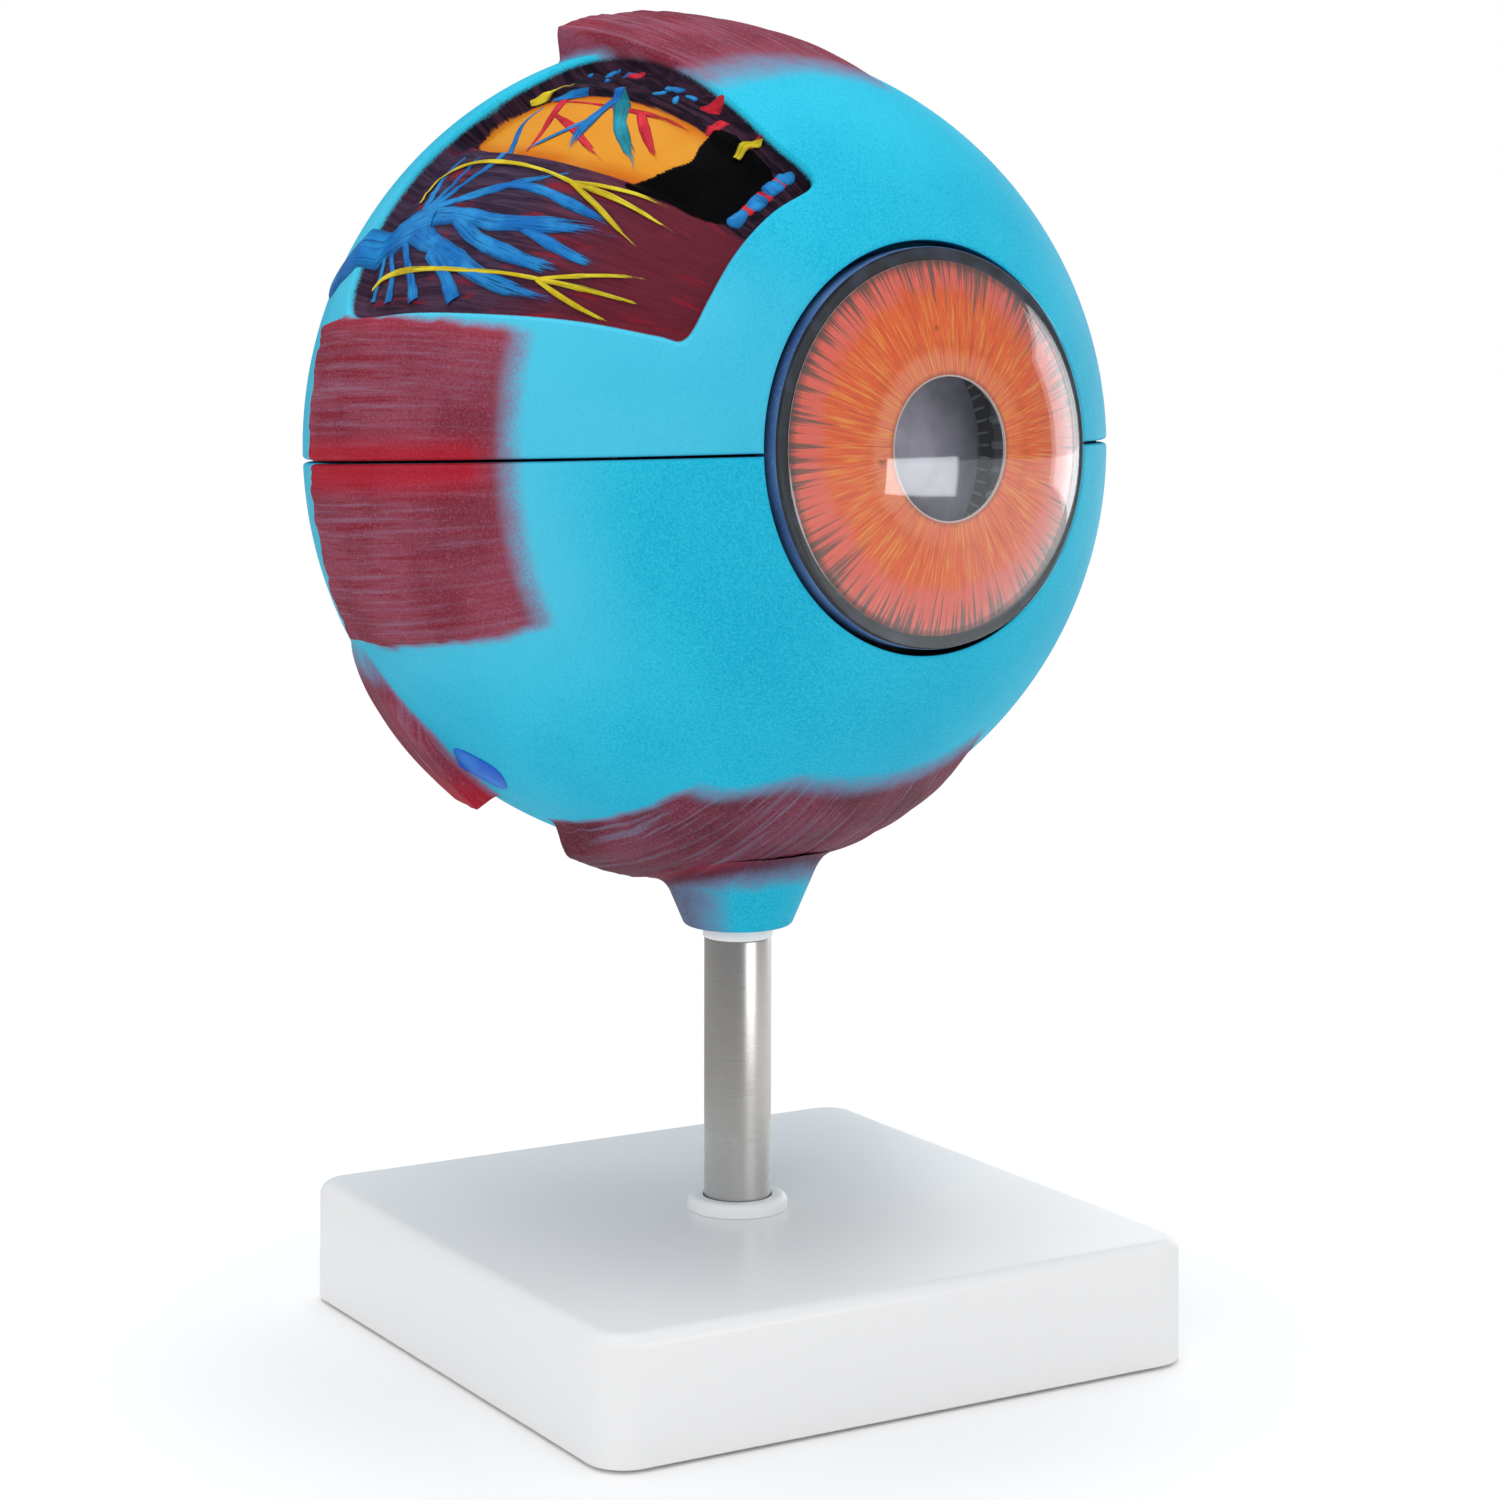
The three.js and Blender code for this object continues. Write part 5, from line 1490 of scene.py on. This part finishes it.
def iris_paint():
    """Printed fibres that run outwards, in rings of colour, with dark ticks at the rim"""
    paint = Paint("iris_print", roughness=0.42)
    out = paint.attribute("out")
    east, north = paint.attribute("east"), paint.attribute("north")

    def fibres(turns, along, detail=3, twist=0.0):
        place = paint.node("ShaderNodeCombineXYZ", (), east * turns, north * turns, out * along)
        return paint.noise(place, detail=detail, roughness=0.6, twist=twist)

    fine = fibres(46, 4)
    hair = fibres(90, 6, detail=2)
    broad = fibres(16, 3.5, twist=0.3)
    lumps = fibres(5, 7)
    ticks = fibres(30, 1.5, detail=2)
    spread = fibres(34, 0.6, detail=1)
    ring = out + (broad - 0.5) * 0.1 + (lumps - 0.5) * 0.08
    pale = (out - north * 0.05 + (fine - 0.5) * 0.1 + (lumps - 0.5) * 0.16).step(0.76, 0.85)
    inmost = ring.step(0.55, 0.48) * (north * 0.35 - east * 0.4 + 0.65).clamped()
    color = paint.mix(inmost, linear(250, 98, 20), linear(250, 134, 96))
    color = paint.mix(fine.step(0.5, 0.66) * ring.step(0.9, 0.7) * 0.8, color, linear(252, 168, 52))
    color = paint.mix(fine.step(0.47, 0.32) * 0.6, color, linear(206, 66, 24))
    color = paint.mix(hair.step(0.56, 0.7) * 0.5, color, linear(252, 180, 104))
    color = paint.mix(hair.step(0.44, 0.3) * 0.4, color, linear(214, 74, 36))
    color = paint.mix(pale * (hair * 0.5 + 0.4), color, linear(248, 112, 104))
    collar = (ring - 0.56).abs().step(0.05, 0.0)
    color = paint.mix(collar * broad.step(0.4, 0.62) * 0.25, color, linear(186, 66, 30))
    turn = north.math("ARCTAN2", east) * (IRIS_TICKS / math.tau)
    saw = ((turn + (spread - 0.5) * 2.4).math("FRACT") - 0.5).abs() * 2
    start = (ticks - 0.5) * 0.75 + 0.8
    wedge = (out - start) / (1.02 - start) * 0.66 + (hair - 0.5) * 0.35
    tick = (wedge - saw).step(-0.16, 0.24)
    color = paint.mix(tick * 0.8, color, linear(84, 82, 72))
    color = paint.mix(out.step(0.95, 1.0) * 0.6, color, linear(66, 62, 58))
    inner = (out + (ticks - 0.5) * 0.04).step(0.425, 0.39)
    color = paint.mix(inner * 0.7, color, linear(168, 78, 58))
    specks = paint.cells(paint.place(), scale=110).step(0.16, 0.07)
    color = paint.mix(specks * lumps.step(0.5, 0.56) * 0.75, color, linear(96, 44, 24))
    color = paint.mix(out.step(0.396, 0.388), color, linear(214, 196, 190))
    back = linear(222, 222, 220)
    color = paint.mix(paint.attribute("shown").step(0.4, 0.6), back, color)
    paint.set("Base Color", color)
    paint.set("Roughness", fine * 0.25 + 0.4)
    paint.bump(fine + broad, 0.2, 0.12 * MM)
    return paint


build_iris()

cornea_profile = cap_arc(46.6, 31.5, 67.2, 0.02, 31.2, 44)
cornea_profile += [(31.55, 67.27), (31.9, 67.2), (33.0, 67.2), (33.2, 67.0), (33.2, 66.65), (33.05, 66.5)]
cornea_profile += [(31.5, 66.5), (31.4, 66.6), (31.4, 66.85), (31.3, 66.95), (30.5, 66.95), (30.4, 67.05)]
cornea_profile += cap_arc(45.5, 30.4, 67.2, 30.3, 0.02, 40)
cornea_clear = clear_paint("cornea_clear", (0.965, 0.975, 0.98, 1), 0.025)
points, faces = eye_lathe(cornea_profile, 180)
faces = [f[::-1] for f in faces]
mesh_piece("cornea_dome", points, faces, "cornea_unit", ["cornea"], cornea_clear)

# Lens and vitreous body

LENS_RADIUS = 22

lens_profile = cap_arc(38, LENS_RADIUS, 50.16, 0.02, 21.6, 26, -1)
lens_profile += [(21.9, 50.4), (22.0, 50.8), (22.0, 51.6), (21.9, 52.0)]
lens_profile += cap_arc(51, LENS_RADIUS, 52.16, 21.6, 0.02, 26)
lens_clear = clear_paint("lens_clear", (0.88, 0.88, 0.92, 1), 0.9, 0.12, 0.0, linear(238, 234, 250))
points, faces = eye_lathe(lens_profile, 120)
mesh_piece("lens_body", points, faces, "crystalline_lens", ["lens"], lens_clear)


def shell_line(size, first, last, steps):
    """A shell's half section from one alpha to another"""
    return shell_points(size, np.linspace(first, last, steps))


def shell_angle(size, depth):
    return math.degrees(math.acos(depth / size))


VITREOUS_FRONT = 49.86
WALL_FRONT = VITREOUS_FRONT - VITREOUS_WALL
DISH_CURVE = 38.3

front_angle = shell_angle(VITREOUS_OUTSIDE, VITREOUS_FRONT)
vitreous_profile = shell_line(VITREOUS_OUTSIDE, 180, front_angle, 60)
vitreous_profile += cap_arc(DISH_CURVE, LENS_RADIUS, VITREOUS_FRONT, LENS_RADIUS, 2, 14, -1)
inner_curve = DISH_CURVE + VITREOUS_WALL
vitreous_profile += cap_arc(inner_curve, LENS_RADIUS, WALL_FRONT, 2, LENS_RADIUS, 14, -1)
vitreous_profile += shell_line(VITREOUS_INSIDE, shell_angle(VITREOUS_INSIDE, WALL_FRONT), 180, 50)
vitreous_clear = clear_paint("vitreous_clear", (0.94, 0.96, 0.975, 1), 0.05)
points, faces = eye_lathe(vitreous_profile, 128)
stands_for = ["vitreous_body"]
mesh_piece("vitreous_shell", points, faces, "vitreous", stands_for, vitreous_clear)

RIBS_INNER = 22.5
RIBS_OUTER = 26.3


def rib_shaper():
    """Rounded ribs that stand round a ring like spokes"""
    sizes = {"inner_radius": RIBS_INNER, "outer_radius": RIBS_OUTER, "rib_width": 0.6, "rib_height": 0.45}
    shaper = Shaper("lens_ribs", count=72, **sizes)
    count = shaper.size("Count")
    inner, outer = shaper.size("Inner Radius"), shaper.size("Outer Radius")
    ring = shaper.node("GeometryNodeMeshCircle", (), count, (inner + outer) * 0.5)
    turn = shaper.node("GeometryNodeInputIndex") / count * math.tau
    turned = shaper.node("ShaderNodeCombineXYZ", (), 0.0, 0.0, turn)
    rib = shaper.node("GeometryNodeMeshUVSphere", (), 12, 7, 0.5)
    spread = (outer - inner, shaper.size("Rib Width"), shaper.size("Rib Height") * 2)
    spread = shaper.node("ShaderNodeCombineXYZ", (), *spread)
    set_out = {"Instance": rib, "Rotation": turned, "Scale": spread}
    ribs = shaper.node("GeometryNodeInstanceOnPoints", (), ring, **set_out)
    shaper.end(ribs, rib_paint)
    return shaper


rib_paint = Paint("lens_ribs", roughness=0.3)
milk = rib_paint.noise(rib_paint.place(), scale=420, detail=3)
rib_color = rib_paint.mix(milk.step(0.3, 0.7), linear(228, 230, 238), linear(246, 247, 250))
rib_paint.set("Base Color", rib_color)
rib_paint.set("Roughness", milk * 0.2 + 0.2)
rib_paint.bump(milk, 0.2, 0.1 * MM)
on_front = Matrix.Translation((0, -VITREOUS_FRONT, 0))
rib_place = EYE @ on_front @ Matrix.Rotation(math.radians(90), 4, "X")
rib_shaper().piece("lens_ribs", bpy.data.meshes.new("lens_ribs"), "vitreous", "clear_plastic", rib_place)

# Choroid: a thin shell with the retina painted inside and the ciliary folds at its front

CHOROID_FRONT = 58.46
CILIARY_BACK = 51.16
CILIARY_FOLDS = 36
YELLOW_SPOT = (-5, 62, 2)


def choroid_material():
    paint = Paint("choroid_paint", roughness=0.42)
    place = paint.place()
    grain = paint.noise(place, scale=2200, detail=2)
    brush = paint.noise(paint.polar((0.15, 0.9, 1)), detail=4, roughness=0.62, twist=0.5)
    mesh_like = paint.cells(paint.polar((0.16, 0.3, 1)), feature="DISTANCE_TO_EDGE")
    outside = paint.mix(brush.step(0.35, 0.65), linear(58, 20, 34), linear(112, 34, 46))
    outside = paint.mix(mesh_like.step(0.12, 0.02) * 0.6, outside, linear(146, 44, 48))
    cloud = paint.noise(place, scale=50, detail=3)
    inside = paint.mix(cloud.step(0.35, 0.65), linear(214, 112, 44), linear(232, 146, 66))
    inside = paint.mix(grain.step(0.5, 0.75) * 0.35, inside, linear(246, 184, 108))
    # The folds are pale lavender-grey paint; near-white along their crests is a painted highlight
    crest_highlight = (paint.attribute("ciliary") + (brush - 0.5) * 0.5).step(1.2, 1.7)
    folds = paint.mix(brush.step(0.4, 0.62), linear(158, 150, 168), linear(120, 110, 130))
    folds = paint.mix(crest_highlight * 0.85, folds, linear(226, 228, 238))
    color = paint.mix(paint.attribute("side").step(0.4, 0.6), outside, inside)
    color = paint.mix(paint.attribute("ciliary").step(0.3, 0.7), color, folds)
    color = paint.mix(paint.attribute("disc").step(0.35, 0.6), color, linear(244, 220, 140))
    color = paint.mix(paint.attribute("spot").step(0.3, 0.8) * 0.7, color, linear(150, 60, 30))
    paint.set("Base Color", color)
    paint.set("Roughness", grain * 0.2 + 0.34)
    paint.bump(grain * 0.4 + brush, 0.3, 0.2 * MM)
    return paint


choroid_paint = choroid_material()
choroid_shares = np.linspace(0, 1, 361)


def choroid_half(name, upper, body, node):
    """One half of the choroid: outside, ciliary folds behind the opening, and the retina's side"""
    outer = shell_line(CHOROID_OUTSIDE, REAR_POLE, shell_angle(CHOROID_OUTSIDE, CHOROID_FRONT), 70)
    front = [(30.9, CHOROID_FRONT), (27.5, CHOROID_FRONT), (27.1, CHOROID_FRONT - 0.1)]
    folds = [(26, 57.1), *((25.9, depth) for depth in (56, 55, 54, 53, 52)), (26.2, 51.3)]
    folds += [(27.2, CILIARY_BACK)]
    inner = [(31, CILIARY_BACK)]
    inner += shell_line(CHOROID_INSIDE, shell_angle(CHOROID_INSIDE, CILIARY_BACK), REAR_POLE, 66)
    profile = np.array(outer + front + folds + inner)
    gap = np.where(np.arange(len(profile)) < len(outer), SEAM, INNER_SEAM)[:, None]
    beta = half_angles(profile[:, :1], choroid_shares, upper, gap)
    alpha = np.degrees(np.arctan2(profile[:, :1], profile[:, 1:])) + 0 * beta
    crest = np.zeros(len(profile))
    start = len(outer) + len(front)
    crest[start : start + len(folds)] = [0.1, 0.8, 1.35, 1.6, 1.5, 1.2, 0.9, 0.4]
    wave = 0.5 + 0.5 * np.cos(np.radians(beta * CILIARY_FOLDS))
    small = 0.5 + 0.5 * np.cos(np.radians(beta * CILIARY_FOLDS * 3))
    out = profile[:, :1] - crest[:, None] * (wave**1.4 * 0.85 + small * 0.15)
    grid = eye_points(out, np.broadcast_to(profile[:, 1:], out.shape), beta)
    rows, columns = grid.shape[:2]
    side = np.repeat(np.arange(rows) >= start + len(folds), columns).astype(float)
    ciliary = np.zeros(rows)
    ciliary[start - 2 : start + len(folds) + 1] = 1
    from_disc = np.linalg.norm(grid - NERVE_WAY * CHOROID_INSIDE, axis=-1)
    from_spot = np.linalg.norm(grid - YELLOW_SPOT, axis=-1)
    inside = side.reshape(rows, columns)
    # ciliary is 1 on the folds and rises on their crests, where the paint puts its painted highlight
    fields = {
        "side": side,
        "ciliary": (ciliary[:, None] * (1 + (crest[:, None] > 0.5) * wave**3)).ravel(),
        "disc": (inside * smooth(from_disc, 9.5, 7.5)).ravel(),
        "spot": (inside * smooth(from_spot, 9, 2)).ravel(),
    }
    flat = grid.reshape(-1, 3)
    polar = np.stack([alpha, beta], -1).reshape(-1, 2)
    faces = grid_faces(rows, columns)
    if upper:
        faces = [f[::-1] for f in faces]
    flat, polar = close_seam(upper, rows, columns, flat, polar, fields, faces, {"side": 0.45})
    mesh_piece(name, in_world(flat), faces, body, [node], choroid_paint, fields, polar)


choroid_half("choroid_upper_half", True, "choroid_top", "upper_choroid")
choroid_half("choroid_lower_half", False, "choroid_bottom", "lower_choroid")


def branches(start, way, width, length, rng, depth, betas):
    """Paths of a vessel that wanders and forks over the retina, each with its width; way in degrees"""
    path = [start]
    angle = math.radians(way)
    for _ in range(4):
        alpha, beta = path[-1]
        angle += rng.uniform(-0.28, 0.28)
        stretch = max(math.sin(math.radians(alpha)), 0.2)
        path.append((alpha + math.cos(angle) * length / 4, beta + math.sin(angle) * length / 4 / stretch))
    if any(not (68 < a < 177 and betas[0] < b < betas[1]) for a, b in path):
        return []
    found = [(path, width)]
    if depth > 0:
        for side in (-1, 1):
            spread = math.degrees(angle) + side * rng.uniform(14, 42)
            further = length * rng.uniform(0.65, 0.95)
            found += branches(path[-1], spread, width * 0.7, further, rng, depth - 1, betas)
    return found


def vessel_mesh(paths):
    """Edges along the paths; each point knows the vessel's width and the retina's radius there"""
    points, edges, widths, grounds = [], [], [], []
    for path, width in paths:
        curve = curve_through(path, 6, closed=False)
        ground = globe_radius(curve[:, 0], CHOROID_INSIDE)
        angle = np.radians(curve[:, 0])
        first = len(points)
        places = eye_points(ground * np.sin(angle), ground * np.cos(angle), curve[:, 1])
        points += in_world(places).tolist()
        edges += [(first + k, first + k + 1) for k in range(len(curve) - 1)]
        widths += np.linspace(width, width * 0.72, len(curve)).tolist()
        grounds += ground.tolist()
    mesh = bpy.data.meshes.new("vessel_paths")
    mesh.from_pydata(points, edges, [])
    mesh.attributes.new("width", "FLOAT", "POINT").data.foreach_set("value", widths)
    mesh.attributes.new("ground", "FLOAT", "POINT").data.foreach_set("value", grounds)
    return mesh


def vessel_shaper(name, paint):
    """Tubes along the paths, pressed flat against the retina"""
    shaper = Shaper(name, sides=8, flatness=0.2)
    field = {"data_type": "FLOAT"}
    width = shaper.node("GeometryNodeInputNamedAttribute", field, "width")
    ground = shaper.node("GeometryNodeInputNamedAttribute", field, "ground")
    curve = shaper.node("GeometryNodeMeshToCurve", (), shaper.size("Geometry"))
    round_line = {"mode": "RADIUS"}
    outline = shaper.node("GeometryNodeCurvePrimitiveCircle", round_line, shaper.size("Sides"), 0.5)
    tube = shaper.node("GeometryNodeCurveToMesh", (), curve, outline, Scale=width, Fill_Caps=True)
    away = shaper.vector("SUBTRACT", shaper.node("GeometryNodeInputPosition"), tuple(EYE_CENTRE))
    push = (ground - shaper.vector("LENGTH", away)) * (1 - shaper.size("Flatness"))
    offset = shaper.vector("SCALE", shaper.vector("NORMALIZE", away), push)
    shaper.end(shaper.node("GeometryNodeSetPosition", (), tube, Offset=offset), paint)
    return shaper


def vessel_paint(name, middle, deep):
    paint = Paint(name, roughness=0.35)
    tone = paint.noise(paint.place(), scale=260, detail=4, roughness=0.6)
    paint.set("Base Color", paint.mix(tone.step(0.35, 0.65), deep, middle))
    paint.set("Roughness", tone * 0.25 + 0.24)
    paint.bump(tone, 0.2, 0.1 * MM)
    return paint


ARTERY_WAYS = [(172, 24), (146, 26), (112, 24)]
VEIN_WAYS = [(160, 26), (130, 25), (98, 22)]
artery_paint = vessel_paint("retina_artery", linear(190, 26, 40), linear(136, 12, 26))
vein_paint = vessel_paint("retina_vein", linear(30, 92, 170), linear(14, 54, 116))
VESSELS = [
    ("arteries", vessel_shaper("retina_arteries", artery_paint), ARTERY_WAYS, 5),
    ("veins", vessel_shaper("retina_veins", vein_paint), VEIN_WAYS, 15),
]
for side, word, body in ((1, "upper", "choroid_top"), (-1, "lower", "choroid_bottom")):
    betas = (2.5, 177.5) if side > 0 else (182.5, 357.5)
    disc_edge = (162.5, 17 if side > 0 else 343)
    for key, tree, ways, seed in VESSELS:
        rng = np.random.default_rng(seed + side)
        paths = []
        for way, length in ways:
            paths += branches(disc_edge, way * side, 1.5, length, rng, 5, betas)
        tree.piece(f"retina_{key}_{word}", vessel_mesh(paths), body, "choroid_paint")
